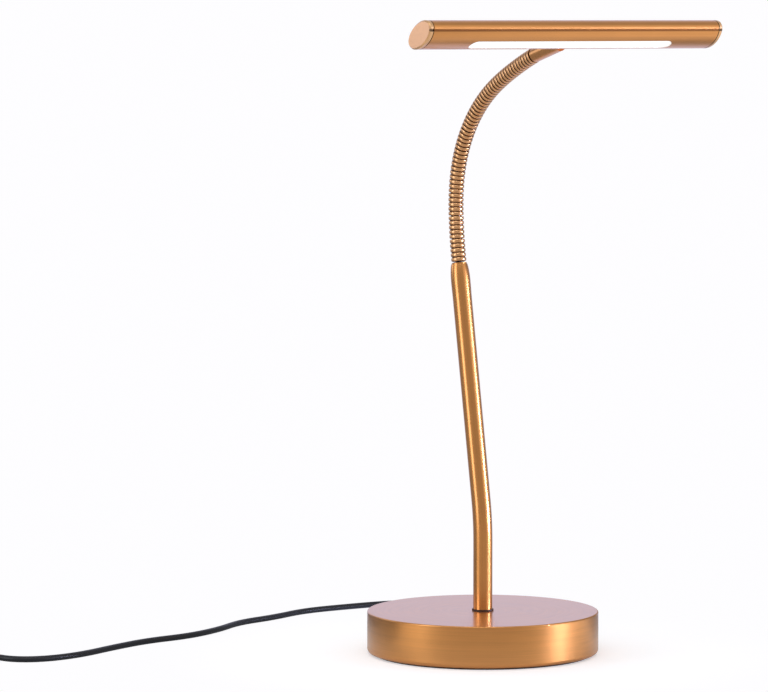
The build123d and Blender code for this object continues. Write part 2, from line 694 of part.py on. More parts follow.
# Lower shell, with the window's slot in it.
with BuildPart() as lower_shell:
    extrude(shell_half_profile(-1), amount=shell_half, both=True)
    extrude(cavity_profile(), amount=shell_half, both=True, mode=Mode.SUBTRACT)
    with BuildSketch(level(0, -1)):
        SlotOverall(SLOT_LENGTH, SLOT_WIDTH)
    extrude(amount=HEAD_DEPTH, mode=Mode.SUBTRACT)
    with BuildSketch(ferrule_plane):
        Circle(FERRULE_DIAMETER / 2 + HOLE_CLEARANCE)
    extrude(amount=FERRULE_LENGTH, mode=Mode.SUBTRACT)
    with BuildSketch(ferrule_plane):
        Circle(SPIGOT_DIAMETER / 2 + HOLE_CLEARANCE)
    extrude(amount=spigot_end, mode=Mode.SUBTRACT)
    extrude(seam_notches(SEAM_GROOVE), amount=shell_half, both=True, mode=Mode.SUBTRACT)
save(lower_shell, "lower_shell")

# Opal window: it fills the slot, and its flange lies on the lower shell's floor.
with BuildPart() as diffuser:
    with BuildSketch(level(-FLOOR_DROP)):
        SlotOverall(SLOT_LENGTH + 2 * DIFFUSER_RIM, SLOT_WIDTH + 2 * DIFFUSER_RIM)
    extrude(amount=DIFFUSER_FLANGE)
    with BuildSketch(level(-FLOOR_DROP, -1)):
        SlotOverall(SLOT_LENGTH - 2 * INNER_CLEARANCE, SLOT_WIDTH - 2 * INNER_CLEARANCE)
    extrude(amount=half_depth - DIFFUSER_RECESS - FLOOR_DROP)
save(diffuser, "diffuser")

# Light board, its chips, and the aluminium spreader it lies against.
with BuildPart() as light_board:
    with BuildSketch(level(board_face)):
        Rectangle(BOARD_LENGTH, BOARD_WIDTH)
        with GridLocations(BOARD_SCREW_SPREAD, 0, 2, 1):
            Circle(BOARD_SCREW_DIAMETER / 2 + SCREW_CLEARANCE, mode=Mode.SUBTRACT)
    extrude(amount=BOARD_THICKNESS)
save(light_board, "light_board")

with BuildPart() as light_chips:
    with BuildSketch(level(board_face, -1)):
        with GridLocations(CHIP_PITCH, 0, CHIP_COUNT, 1):
            Rectangle(CHIP_LENGTH, CHIP_WIDTH)
    extrude(amount=CHIP_THICKNESS)
save(light_chips, "light_chips")

notch_reach = -BOARD_WIDTH / 2 - INNER_CLEARANCE
spreader_length = 2 * (shell_half - CAP_PLUG_LENGTH - SPREADER_END_CLEARANCE)
with BuildPart() as heat_spreader:
    with BuildSketch(level(spreader_face, -1)):
        Rectangle(spreader_length, SPREADER_WIDTH)
        with Locations((0, notch_reach - HEAD_WIDTH / 2)):
            Rectangle(BRACKET_LENGTH + 4 * INNER_CLEARANCE, HEAD_WIDTH, mode=Mode.SUBTRACT)
        with GridLocations(BOARD_SCREW_SPREAD, 0, 2, 1):
            Circle(BOARD_SCREW_DIAMETER / 2 + SCREW_CLEARANCE, mode=Mode.SUBTRACT)
    extrude(amount=-SPREADER_THICKNESS)
save(heat_spreader, "heat_spreader")

with BuildPart() as board_screws:
    with BuildSketch(level(board_face, -1)):
        with GridLocations(BOARD_SCREW_SPREAD, 0, 2, 1):
            Circle(BOARD_SCREW_HEAD / 2)
    extrude(amount=SCREW_HEAD_THICKNESS)
    with BuildSketch(level(board_face)):
        with GridLocations(BOARD_SCREW_SPREAD, 0, 2, 1):
            Circle(BOARD_SCREW_DIAMETER / 2)
    extrude(amount=BOARD_SCREW_LENGTH)
save(board_screws, "board_screws")

# Bracket that holds the neck's end fitting, its two screws, and the clip on the fitting's end.
bracket_head_face = BRACKET_TOP + BRACKET_SCREW_ENGAGEMENT - BRACKET_SCREW_LENGTH
with BuildPart() as neck_bracket:
    with BuildSketch(section):
        with Locations((bracket_middle, BRACKET_TOP - HEAD_DEPTH / 2)):
            Rectangle(BRACKET_WIDTH, HEAD_DEPTH)
        Ellipse(
            half_width - HEAD_WALL - 2 * INNER_CLEARANCE,
            half_depth - HEAD_WALL - 2 * INNER_CLEARANCE,
            mode=Mode.INTERSECT,
        )
    extrude(amount=BRACKET_LENGTH / 2, both=True)
    with BuildSketch(ferrule_plane):
        Circle(SPIGOT_DIAMETER / 2 + SPIGOT_CLEARANCE)
    extrude(amount=2 * spigot_end, mode=Mode.SUBTRACT)
    with BuildSketch(ferrule_plane):
        Circle(FERRULE_DIAMETER / 2 + HOLE_CLEARANCE)
    extrude(amount=FERRULE_LENGTH, mode=Mode.SUBTRACT)
    with BuildSketch(level(BRACKET_TOP)):
        with Locations((0, -bracket_middle)):
            with GridLocations(BRACKET_SCREW_SPREAD, 0, 2, 1):
                Circle(BRACKET_SCREW_DIAMETER / 2 + SCREW_CLEARANCE)
    extrude(amount=-HEAD_DEPTH, mode=Mode.SUBTRACT)
    with BuildSketch(level(bracket_head_face)):
        with Locations((0, -bracket_middle)):
            with GridLocations(BRACKET_SCREW_SPREAD, 0, 2, 1):
                Circle(BOARD_SCREW_HEAD / 2 + SCREW_CLEARANCE)
    extrude(amount=-HEAD_DEPTH, mode=Mode.SUBTRACT)
save(neck_bracket, "neck_bracket")

with BuildPart() as bracket_screws:
    with BuildSketch(level(bracket_head_face, -1)):
        with Locations((0, bracket_middle)):
            with GridLocations(BRACKET_SCREW_SPREAD, 0, 2, 1):
                Circle(BOARD_SCREW_HEAD / 2)
    extrude(amount=SCREW_HEAD_THICKNESS / 2)
    with BuildSketch(level(bracket_head_face)):
        with Locations((0, -bracket_middle)):
            with GridLocations(BRACKET_SCREW_SPREAD, 0, 2, 1):
                Circle(BRACKET_SCREW_DIAMETER / 2)
    extrude(amount=BRACKET_SCREW_LENGTH)
save(bracket_screws, "bracket_screws")

clip_place = ferrule_reach(bracket_front + INNER_CLEARANCE) + SPIGOT_DIAMETER / 2 * tan(
    radians(HEAD_ROLL - FERRULE_RISE)
)
with BuildPart() as spigot_clip:
    with BuildSketch(ferrule_plane.offset(clip_place)):
        Circle(CLIP_DIAMETER / 2)
        Circle(SPIGOT_DIAMETER / 2 + SPIGOT_CLEARANCE, mode=Mode.SUBTRACT)
        with Locations((0, CLIP_DIAMETER / 2)):
            Rectangle(SPIGOT_DIAMETER / 2, CLIP_DIAMETER, mode=Mode.SUBTRACT)
    extrude(amount=CLIP_THICKNESS)
save(spigot_clip, "spigot_clip")

# End caps: a bevelled oval plate, a step that leaves a shadow groove, and a plug in the shells.
for name, side in (("end_cap_left", -1), ("end_cap_right", 1)):
    seat = Vector(side * (shell_half + CAP_GAP), 0, 0)
    cap_plane = Plane(head_centre + seat, x_dir=front, z_dir=(-1, 0, 0))
    with BuildPart() as end_cap:
        with BuildSketch(cap_plane):
            Ellipse(half_width, half_depth)
        extrude(amount=-side * CAP_THICKNESS)
        outer_edges = end_cap.edges().sort_by(Axis.X)
        chamfer(outer_edges[-1 if side > 0 else 0], CAP_BEVEL)
        notches = seam_notches(CAP_NOTCH).moved(Location(seat))
        extrude(notches, amount=-side * CAP_THICKNESS, mode=Mode.SUBTRACT)
        with BuildSketch(cap_plane):
            Ellipse(half_width - CAP_STEP, half_depth - CAP_STEP)
        extrude(amount=side * CAP_GAP)
        plug_profile = cavity_profile(INNER_CLEARANCE).moved(Location(seat))
        extrude(plug_profile, amount=side * (CAP_GAP + CAP_PLUG_LENGTH))
    save(end_cap, name)

# ================================================================ wiring inside the base
driver_back = -DRIVER_FORWARD + DRIVER_SIZE[1] / 2
with BuildPart() as light_driver:
    with BuildSketch(Plane.XY.offset(plate_top)):
        with Locations((0, -DRIVER_FORWARD)):
            Rectangle(DRIVER_SIZE[0], DRIVER_SIZE[1])
    extrude(amount=DRIVER_SIZE[2])
    fillet(light_driver.edges().filter_by(Axis.Z), DRIVER_CORNER)
    chamfer(light_driver.faces().sort_by(Axis.Z)[-1].edges(), DRIVER_CHAMFER)
save(light_driver, "light_driver")

with BuildPart() as terminal_block:
    with BuildSketch(Plane.XY.offset(plate_top)):
        with Locations((0, TERMINAL_BACK - TERMINAL_SIZE[1] / 2)):
            Rectangle(TERMINAL_SIZE[0], TERMINAL_SIZE[1])
    extrude(amount=TERMINAL_SIZE[2])
    with BuildSketch(Plane.XY.offset(plate_top + TERMINAL_SIZE[2])):
        with Locations((0, TERMINAL_BACK - TERMINAL_SIZE[1] / 2)):
            with GridLocations(TERMINAL_SIZE[0] / 2, TERMINAL_SIZE[1] / 2, 2, 2):
                Circle(TERMINAL_HOLE_DIAMETER / 2)
    extrude(amount=-TERMINAL_HOLE_DEPTH, mode=Mode.SUBTRACT)
save(terminal_block, "terminal_block")

wire_height = plate_top + WIRE_DIAMETER / 2 + INNER_CLEARANCE
with BuildPart() as supply_wires:
    with BuildSketch(Plane((0, driver_back, wire_height), x_dir=X_AXIS, z_dir=(0, -1, 0))):
        with GridLocations(WIRE_SPREAD, 0, 2, 1):
            Circle(WIRE_DIAMETER / 2)
    extrude(amount=-(TERMINAL_BACK - TERMINAL_SIZE[1] - driver_back))
save(supply_wires, "supply_wires")

# Bush that guides the cord through the shell's wall and stiffens it outside.
boot_seat = sqrt((base_radius - SHELL_WALL) ** 2 - (BOOT_DIAMETER / 2) ** 2)
boot_inner = boot_seat - BOOT_FLANGE
with BuildPart() as strain_relief:
    with BuildSketch(Plane((0, 0, EXIT_HEIGHT), x_dir=(0, 1, 0), z_dir=(1, 0, 0))):
        with BuildLine():
            Polyline(
                (boot_inner, 0),
                (boot_inner, BOOT_DIAMETER / 2),
                (boot_seat, BOOT_DIAMETER / 2),
                (boot_seat, BOOT_NECK_DIAMETER / 2),
                (base_radius, BOOT_NECK_DIAMETER / 2),
                (base_radius, BOOT_DIAMETER / 2),
                (base_radius + BOOT_FLANGE, BOOT_DIAMETER / 2),
                (exit_y, BOOT_TIP_DIAMETER / 2),
                (exit_y, 0),
                close=True,
            )
        make_face()
    revolve(axis=Axis((0, 0, EXIT_HEIGHT), (0, 1, 0)))
save(strain_relief, "strain_relief")

with BuildPart() as cord_inside:
    with BuildSketch(Plane((0, TERMINAL_BACK, EXIT_HEIGHT), x_dir=X_AXIS, z_dir=(0, 1, 0))):
        Circle(CORD_DIAMETER / 2)
    extrude(amount=boot_inner - TERMINAL_BACK)
save(cord_inside, "cord_inside")

clamp_y = inner_radius - WEIGHT_RIM_WIDTH - CLAMP_DEPTH
clamp_top = EXIT_HEIGHT - CORD_DIAMETER / 2
with BuildPart() as cord_clamp:
    with BuildSketch(Plane.XY.offset(clamp_top)):
        with Locations((0, clamp_y)):
            Rectangle(CLAMP_WIDTH, CLAMP_DEPTH)
            with GridLocations(CLAMP_SCREW_SPREAD, 0, 2, 1):
                Circle(CLAMP_SCREW_DIAMETER / 2 + SCREW_CLEARANCE, mode=Mode.SUBTRACT)
    extrude(amount=-CLAMP_THICKNESS)
save(cord_clamp, "cord_clamp")

clamp_foot = clamp_top - CLAMP_THICKNESS
with BuildPart() as clamp_screws:
    with BuildSketch(Plane.XY.offset(clamp_foot)):
        with Locations((0, clamp_y)):
            with GridLocations(CLAMP_SCREW_SPREAD, 0, 2, 1):
                Circle(CLAMP_SCREW_HEAD / 2)
    extrude(amount=-SCREW_HEAD_THICKNESS)
    with BuildSketch(Plane.XY.offset(clamp_foot)):
        with Locations((0, clamp_y)):
            with GridLocations(CLAMP_SCREW_SPREAD, 0, 2, 1):
                Circle(CLAMP_SCREW_DIAMETER / 2)
    extrude(amount=CLAMP_SCREW_LENGTH)
save(clamp_screws, "clamp_screws")

# Two-core lead from the driver, up through the nipple, pole and neck, to the light board.
with BuildPart() as lamp_lead:
    with BuildLine():
        FilletPolyline(
            (0, driver_back, LEAD_HEIGHT),
            (0, 0, LEAD_HEIGHT),
            (0, 0, POLE_CORNER_HEIGHT),
            neck_start.origin,
            radius=[LEAD_BEND, POLE_BEND_RADIUS],
        )
        for start, turn in zip(link_planes, LINK_TURNS):
            ThreePointArc(
                start.origin,
                bent(start, link_length / 2, turn / 2).origin,
                bent(start, link_length, turn).origin,
            )
        Line(
            ferrule_plane.origin,
            ferrule_plane.origin + ferrule_plane.z_dir * (spigot_end + INNER_CLEARANCE),
        )
    with BuildSketch(Plane((0, driver_back, LEAD_HEIGHT), x_dir=X_AXIS, z_dir=(0, 1, 0))):
        Circle(LEAD_DIAMETER / 2)
    sweep(transition=Transition.ROUND)
save(lamp_lead, "lamp_lead")

# ================================================================ cord
cord_routes = {"cord_lead": CORD_ROUTE, "cord_link": LINK_ROUTE, "cord_tail": TAIL_ROUTE}
loose_length = sum(cord_tube(route, CORD_DIAMETER, name) for name, route in cord_routes.items())
print(f"cord outside the coil: {loose_length:.0f} mm")

coil_axis = Axis((COIL_CENTRE[0], COIL_CENTRE[1], 0), (0, 0, 1))
with BuildPart() as cord_coil:
    with BuildSketch(Plane((COIL_CENTRE[0], COIL_CENTRE[1], 0), x_dir=X_AXIS, z_dir=(0, -1, 0))):
        with Locations(((COIL_OUTER_RADIUS + COIL_INNER_RADIUS) / 2, COIL_HEIGHT / 2)):
            RectangleRounded(COIL_OUTER_RADIUS - COIL_INNER_RADIUS, COIL_HEIGHT, COIL_CORNER)
    revolve(axis=coil_axis)
save(cord_coil, "cord_coil")

# ================================================================ switch on the cord
switch_plane = Plane((SWITCH_CENTRE[0], SWITCH_CENTRE[1], 0), x_dir=X_AXIS, z_dir=(0, 0, 1))
pivot = Vector(SWITCH_CENTRE[0], SWITCH_CENTRE[1], ROCKER_PIVOT_HEIGHT)
screw_spots = [SWITCH_SCREW_OFFSET, (-SWITCH_SCREW_OFFSET[0], -SWITCH_SCREW_OFFSET[1])]
contact_room = (ROCKER_WIDTH + 2 * CONTACT_MARGIN[0], ROCKER_LENGTH + 2 * CONTACT_MARGIN[1])
contact_top = ROCKER_PIVOT_HEIGHT - COVER_UNDERSIDE_DROP
entry_planes = [
    Plane((SWITCH_CENTRE[0], y, SWITCH_SPLIT), x_dir=X_AXIS, z_dir=(0, facing, 0))
    for y, facing in ((switch_near, 1), (switch_far, -1))
]


def switch_outline(height):
    """The switch's rounded outline at a height."""
    with BuildSketch(switch_plane.offset(height)) as outline:
        RectangleRounded(SWITCH_WIDTH, SWITCH_LENGTH, SWITCH_CORNER)
    return outline.sketch


with BuildPart() as switch_base:
    extrude(switch_outline(0), amount=SWITCH_SPLIT)
    fillet(switch_base.faces().sort_by(Axis.Z)[0].edges(), SWITCH_FOOT_ROUNDING)
    with BuildSketch(switch_plane.offset(SWITCH_FLOOR)):
        Rectangle(*contact_room)
    extrude(amount=SWITCH_SPLIT, mode=Mode.SUBTRACT)
    with BuildSketch(switch_plane):
        with Locations(*screw_spots):
            Circle(SWITCH_SCREW_DIAMETER / 2 + SCREW_CLEARANCE)
    extrude(amount=SWITCH_SPLIT, mode=Mode.SUBTRACT)
    with BuildSketch(switch_plane):
        with Locations(*screw_spots):
            Circle(SWITCH_SCREW_HEAD / 2 + HEAD_CLEARANCE)
    extrude(amount=SWITCH_FLOOR + SCREW_HEAD_THICKNESS, mode=Mode.SUBTRACT)
    with BuildSketch(*entry_planes):
        Circle(CORD_DIAMETER / 2 + HOLE_CLEARANCE)
    extrude(amount=SWITCH_ENTRY + HOLE_CLEARANCE, mode=Mode.SUBTRACT)
save(switch_base, "switch_base")

with BuildPart() as switch_cover:
    extrude(switch_outline(SWITCH_SPLIT), amount=SWITCH_HEIGHT - SWITCH_SPLIT)
    fillet(switch_cover.faces().sort_by(Axis.Z)[-1].edges(), SWITCH_TOP_ROUNDING)
    with BuildSketch(switch_plane.offset(SWITCH_SPLIT)):
        Rectangle(*contact_room)
    extrude(amount=contact_top - SWITCH_SPLIT, mode=Mode.SUBTRACT)
    with BuildSketch(switch_plane.offset(SWITCH_SPLIT)):
        Rectangle(ROCKER_WIDTH + 2 * ROCKER_SIDE_CLEARANCE, ROCKER_LENGTH + 2 * ROCKER_END_CLEARANCE)
    extrude(amount=SWITCH_HEIGHT, mode=Mode.SUBTRACT)
    with BuildSketch(Plane(pivot, x_dir=(0, 1, 0), z_dir=(1, 0, 0))):
        Circle(ROCKER_PIN_DIAMETER / 2 + ROCKER_PIN_CLEARANCE)
    pin_hole_reach = ROCKER_WIDTH / 2 + ROCKER_PIN_REACH + ROCKER_SIDE_CLEARANCE
    extrude(amount=pin_hole_reach, both=True, mode=Mode.SUBTRACT)
    with BuildSketch(switch_plane.offset(SWITCH_SPLIT)):
        with Locations(*screw_spots):
            Circle(SWITCH_SCREW_DIAMETER / 2 + SCREW_CLEARANCE)
    extrude(amount=SWITCH_SCREW_LENGTH - SCREW_HEAD_THICKNESS, mode=Mode.SUBTRACT)
    with BuildSketch(*entry_planes):
        Circle(CORD_DIAMETER / 2 + HOLE_CLEARANCE)
    extrude(amount=SWITCH_ENTRY + HOLE_CLEARANCE, mode=Mode.SUBTRACT)
save(switch_cover, "switch_cover")

# Rocker, at rest with its near end pressed down.
tilt = radians(ROCKER_TILT)
rocker_side = Plane(pivot, x_dir=(0, cos(tilt), sin(tilt)), z_dir=(1, 0, 0))
with BuildPart() as switch_rocker:
    with BuildSketch(rocker_side) as rocker_profile:
        with BuildLine():
            Polyline(
                (-ROCKER_LENGTH / 2, -ROCKER_DEPTH),
                (ROCKER_LENGTH / 2, -ROCKER_DEPTH),
                (ROCKER_LENGTH / 2, ROCKER_RISE),
                (0, ROCKER_DIP),
                (-ROCKER_LENGTH / 2, ROCKER_RISE),
                close=True,
            )
        make_face()
    extrude(amount=ROCKER_WIDTH / 2, both=True)
    side_edges = switch_rocker.faces().filter_by(Axis.X).edges()
    fillet(side_edges.filter_by(lambda e: e.center().Z > pivot.Z + ROCKER_DIP / 2), ROCKER_ROUNDING)
    with BuildSketch(rocker_side):
        Circle(ROCKER_PIN_DIAMETER / 2)
    extrude(amount=ROCKER_WIDTH / 2 + ROCKER_PIN_REACH, both=True)
save(switch_rocker, "switch_rocker")

with BuildPart() as switch_contacts:
    with BuildSketch(switch_plane.offset(SWITCH_FLOOR)):
        with GridLocations(0, ROCKER_LENGTH / 2, 1, 2):
            Rectangle(ROCKER_WIDTH / 2, CONTACT_THICKNESS)
    extrude(amount=ROCKER_PIVOT_HEIGHT - CONTACT_DROP - SWITCH_FLOOR)
save(switch_contacts, "switch_contacts")

with BuildPart() as switch_screws:
    with BuildSketch(switch_plane.offset(SWITCH_FLOOR)):
        with Locations(*screw_spots):
            Circle(SWITCH_SCREW_HEAD / 2)
    extrude(amount=SCREW_HEAD_THICKNESS)
    with BuildSketch(switch_plane.offset(SWITCH_FLOOR + SCREW_HEAD_THICKNESS)):
        with Locations(*screw_spots):
            Circle(SWITCH_SCREW_DIAMETER / 2)
    extrude(amount=SWITCH_SCREW_LENGTH)
save(switch_screws, "switch_screws")

# ================================================================ plug
plug_back = PLUG_ENTRY_Y - PLUG_RELIEF_LENGTH
plug_plane = Plane((PLUG_X, plug_back, PLUG_BODY[2] / 2), x_dir=X_AXIS, z_dir=(0, -1, 0))
with BuildPart() as plug_body:
    with BuildSketch(plug_plane):
        RectangleRounded(*PLUG_NECK, PLUG_CORNER)
    with BuildSketch(plug_plane.offset(PLUG_NECK_LENGTH)):
        RectangleRounded(PLUG_BODY[0], PLUG_BODY[2], PLUG_CORNER)
    loft()
    with BuildSketch(plug_plane.offset(PLUG_NECK_LENGTH)):
        RectangleRounded(PLUG_BODY[0], PLUG_BODY[2], PLUG_CORNER)
    extrude(amount=PLUG_BODY[1] - PLUG_NECK_LENGTH)
    with BuildSketch(plug_plane):
        Circle(PLUG_RELIEF_DIAMETER / 2)
    with BuildSketch(plug_plane.offset(-PLUG_RELIEF_LENGTH)):
        Circle(PLUG_RELIEF_TIP / 2)
    loft()
save(plug_body, "plug_body")

with BuildPart() as plug_blades:
    with BuildSketch(plug_plane.offset(PLUG_BODY[1])):
        with GridLocations(BLADE_SPREAD, 0, 2, 1):
            Rectangle(BLADE_THICKNESS, BLADE_WIDTH)
    extrude(amount=BLADE_LENGTH)
    chamfer(plug_blades.edges().filter_by(Axis.Z).group_by(Axis.Y)[0], BLADE_CHAMFER)
    hole_centre = plug_plane.origin + plug_plane.z_dir * (PLUG_BODY[1] + BLADE_LENGTH - BLADE_HOLE_INSET)
    with BuildSketch(Plane(hole_centre, x_dir=(0, 1, 0), z_dir=X_AXIS)):
        Circle(BLADE_HOLE_DIAMETER / 2)
    extrude(amount=PLUG_BODY[0], both=True, mode=Mode.SUBTRACT)
save(plug_blades, "plug_blades")
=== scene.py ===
# %% [markdown]
# # A gooseneck piano lamp
# The lamp has a weighted round base, a bent brass pole, a ribbed neck that stays where it is bent,
# and a slim head with a window of light. The frame is the lamp's own engineering model: every
# piece below goes where that model says, in metres, with +Z up and the player at -Y.

# %% Load the frame
import json
from math import atan2, cos, pi, radians, sin, sqrt, tan

import bmesh
import bpy
from mathutils import Matrix, Vector

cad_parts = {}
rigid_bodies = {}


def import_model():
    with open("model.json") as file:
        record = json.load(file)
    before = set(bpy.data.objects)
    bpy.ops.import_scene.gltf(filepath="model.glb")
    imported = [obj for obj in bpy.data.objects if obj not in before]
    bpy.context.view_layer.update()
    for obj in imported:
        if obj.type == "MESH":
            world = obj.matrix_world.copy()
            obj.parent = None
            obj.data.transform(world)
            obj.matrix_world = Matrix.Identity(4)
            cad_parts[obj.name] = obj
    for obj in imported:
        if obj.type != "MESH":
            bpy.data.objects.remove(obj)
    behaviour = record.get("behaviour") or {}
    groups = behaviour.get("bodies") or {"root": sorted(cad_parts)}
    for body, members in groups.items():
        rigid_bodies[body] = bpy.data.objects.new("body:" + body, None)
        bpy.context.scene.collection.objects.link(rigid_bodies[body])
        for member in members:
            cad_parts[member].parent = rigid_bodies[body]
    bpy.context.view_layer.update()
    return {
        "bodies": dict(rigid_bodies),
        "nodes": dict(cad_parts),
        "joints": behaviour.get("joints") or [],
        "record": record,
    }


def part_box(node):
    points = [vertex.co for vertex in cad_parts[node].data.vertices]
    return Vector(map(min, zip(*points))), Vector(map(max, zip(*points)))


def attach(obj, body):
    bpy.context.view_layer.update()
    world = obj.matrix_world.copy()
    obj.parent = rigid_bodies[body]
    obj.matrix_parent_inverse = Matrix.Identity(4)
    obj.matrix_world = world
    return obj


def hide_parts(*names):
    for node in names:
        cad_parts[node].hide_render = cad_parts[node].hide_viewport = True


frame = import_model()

for kind in ("bodies", "nodes", "joints"):
    print(kind, len(frame[kind]))

# %% [markdown]
# ## The camera
# A product photographer stands well back and uses a long lens, so that the base's ellipse stays
# flat and the head's two ends look alike. The camera looks from the front left, a little above
# the table. Its place is written as a distance, a height and three angles, which are easier to
# correct than a matrix.

# %% Camera
VIEW_DISTANCE = 2.7  # level distance from the base's centre
VIEW_HEIGHT = 0.4103
VIEW_YAW = radians(34.0)  # from straight in front, towards the left
VIEW_PITCH = radians(4.455)  # below level
VIEW_PAN = radians(1.36)  # turned to the left of the base's centre
LENS = 196.5  # focal length and sensor width in millimetres
SENSOR_WIDTH = 36.0

lens = bpy.data.cameras.new("lens")
lens.lens = LENS
lens.sensor_width = SENSOR_WIDTH
camera = bpy.data.objects.new("camera", lens)
camera.location = (-VIEW_DISTANCE * sin(VIEW_YAW), -VIEW_DISTANCE * cos(VIEW_YAW), VIEW_HEIGHT)
camera.rotation_euler = (pi / 2 - VIEW_PITCH, 0, VIEW_PAN - VIEW_YAW)
bpy.context.collection.objects.link(camera)
bpy.context.scene.camera = camera
bpy.context.scene.view_settings.view_transform = "Standard"
print("camera at", [round(c, 3) for c in camera.location])

# %% [markdown]
# ## Writing shaders as sums
# A material is a graph of nodes. Adding each node by hand hides the sum that it works out, so a
# small class wraps a socket and lets Python's own operators add the Math nodes. Every other node
# comes from one method, which sets the node up first and then fills its sockets.


# %% Sockets that Python can do sums with
class Value:
    """A number that a shader works out: an output socket with Python's operators."""

    def __init__(self, finish, socket):
        self.finish = finish
        self.socket = socket

    def math(self, operation, *values):
        settings = {"operation": operation}
        return self.finish.node("ShaderNodeMath", settings, dict(enumerate(values)))

    def __add__(self, other):
        return self.math("ADD", self, other)

    def __radd__(self, other):
        return self.math("ADD", other, self)

    def __sub__(self, other):
        return self.math("SUBTRACT", self, other)

    def __rsub__(self, other):
        return self.math("SUBTRACT", other, self)

    def __mul__(self, other):
        return self.math("MULTIPLY", self, other)

    def __rmul__(self, other):
        return self.math("MULTIPLY", other, self)

    def __truediv__(self, other):
        return self.math("DIVIDE", self, other)

    def __pow__(self, other):
        return self.math("POWER", self, other)

    def ramp(self, low, high):
        """0 below low, 1 above high, and smooth between them."""
        settings = {"interpolation_type": "SMOOTHSTEP"}
        return self.finish.node("ShaderNodeMapRange", settings, {0: self, 1: low, 2: high})


class Finish:
    """The graph of a material, or of a world, and the one method that adds its nodes."""

    def __init__(self, name, owner=None):
        self.owner = owner or bpy.data.materials.new(name)
        self.owner.use_nodes = True
        self.tree = self.owner.node_tree
        self.tree.nodes.clear()

    def node(self, kind, settings=None, values=None, output=0):
        """Adds a node, sets it up, fills its sockets and gives one of its outputs."""
        made = self.tree.nodes.new(kind)
        for name, setting in (settings or {}).items():
            setattr(made, name, setting)
        for name, value in (values or {}).items():
            self.fill(made.inputs[name], value)
        return Value(self, made.outputs[output]) if made.outputs else None

    def fill(self, socket, value):
        """Links a socket to a shader value, or writes a plain number or colour on it."""
        if isinstance(value, Value):
            self.tree.links.new(value.socket, socket)
        elif socket.type == "RGBA" and len(value) == 3:
            socket.default_value = (*value, 1)
        else:
            socket.default_value = value

    def place(self):
        """Where a point is on the object, in metres."""
        return self.node("ShaderNodeTexCoord", output="Object")

    def split(self, vector):
        """The three numbers of a vector."""
        made = self.node("ShaderNodeSeparateXYZ", None, {0: vector}).socket.node
        return [Value(self, socket) for socket in made.outputs]

    def join(self, x, y, z):
        """A vector of three numbers."""
        return self.node("ShaderNodeCombineXYZ", None, {0: x, 1: y, 2: z})

    def noise(self, vector, scale=1.0, detail=2.0, roughness=0.5):
        """Soft random grain, about 0.5 on average."""
        values = {"Vector": vector, "Scale": scale, "Detail": detail, "Roughness": roughness}
        return self.node("ShaderNodeTexNoise", None, values, "Fac")

    def mix(self, share, first, second):
        """A colour between two colours."""
        settings = {"data_type": "RGBA"}
        return self.node("ShaderNodeMix", settings, {0: share, 6: first, 7: second}, 2)

    def bump(self, height, strength, distance):
        """A surface normal tilted by a height."""
        values = {"Height": height, "Strength": strength, "Distance": distance}
        return self.node("ShaderNodeBump", None, values)

    def surface(self, values):
        """Ends the graph in a Principled shader."""
        shader = self.node("ShaderNodeBsdfPrincipled", None, values)
        self.node("ShaderNodeOutputMaterial", None, {"Surface": shader})
        return self.owner


print("shader helpers ready")

# %% [markdown]
# ## The studio
# The lamp stands on a white table under a white sky. Metal is mostly what it reflects, so the
# studio is what gives the brass its bands: cool bright paper beyond the lamp, dim sides with a
# window in each, and a dim warm room behind the camera. The nodes know a camera ray from a ray
# that lights the lamp, so the background can be white without washing the lamp out.

# %% A helper for objects
def new_object(name, data):
    """Puts an object in the scene, at the origin."""
    made = bpy.data.objects.new(name, data)
    bpy.context.collection.objects.link(made)
    return made


# %% The room, as camera, mirror and matt surfaces see it
BACKGROUND = (0.99, 0.985, 1.0)
ROOM_LIGHT = 0.60  # the sky's strength as a lamp, where 1 is white
# What metal sees behind the camera, at its sides, overhead, and beyond the lamp.
ROOM_FRONT = (0.39, 0.36, 0.33)
ROOM_SIDES = (0.27, 0.27, 0.29)
ROOM_ABOVE = (0.47, 0.45, 0.42)
ROOM_BACK = (0.68, 0.69, 0.92)
# How far ahead of the camera each part of the room gives way to the next, from -1 behind it to
# 1 straight ahead, and how steep a ray has to be to see what is overhead.
SIDES_START = (-0.75, 0.1)
BACK_START = (0.72, 0.97)
OVERHEAD_START = (0.20, 0.98)
# A window: its bearing from the camera's side (right is positive), where it fades in and is
# whole (1 is its middle), and its colour. Seen in the table, the right one is further round.
LEFT_WINDOW = (radians(-62), 0.955, 0.99, (0.84, 0.76, 0.62))
SKY_WINDOWS = [(radians(67), 0.88, 0.98, (0.86, 0.80, 0.74)), LEFT_WINDOW]
TABLE_WINDOWS = [(radians(86), 0.84, 0.96, (0.84, 0.78, 0.72)), LEFT_WINDOW]


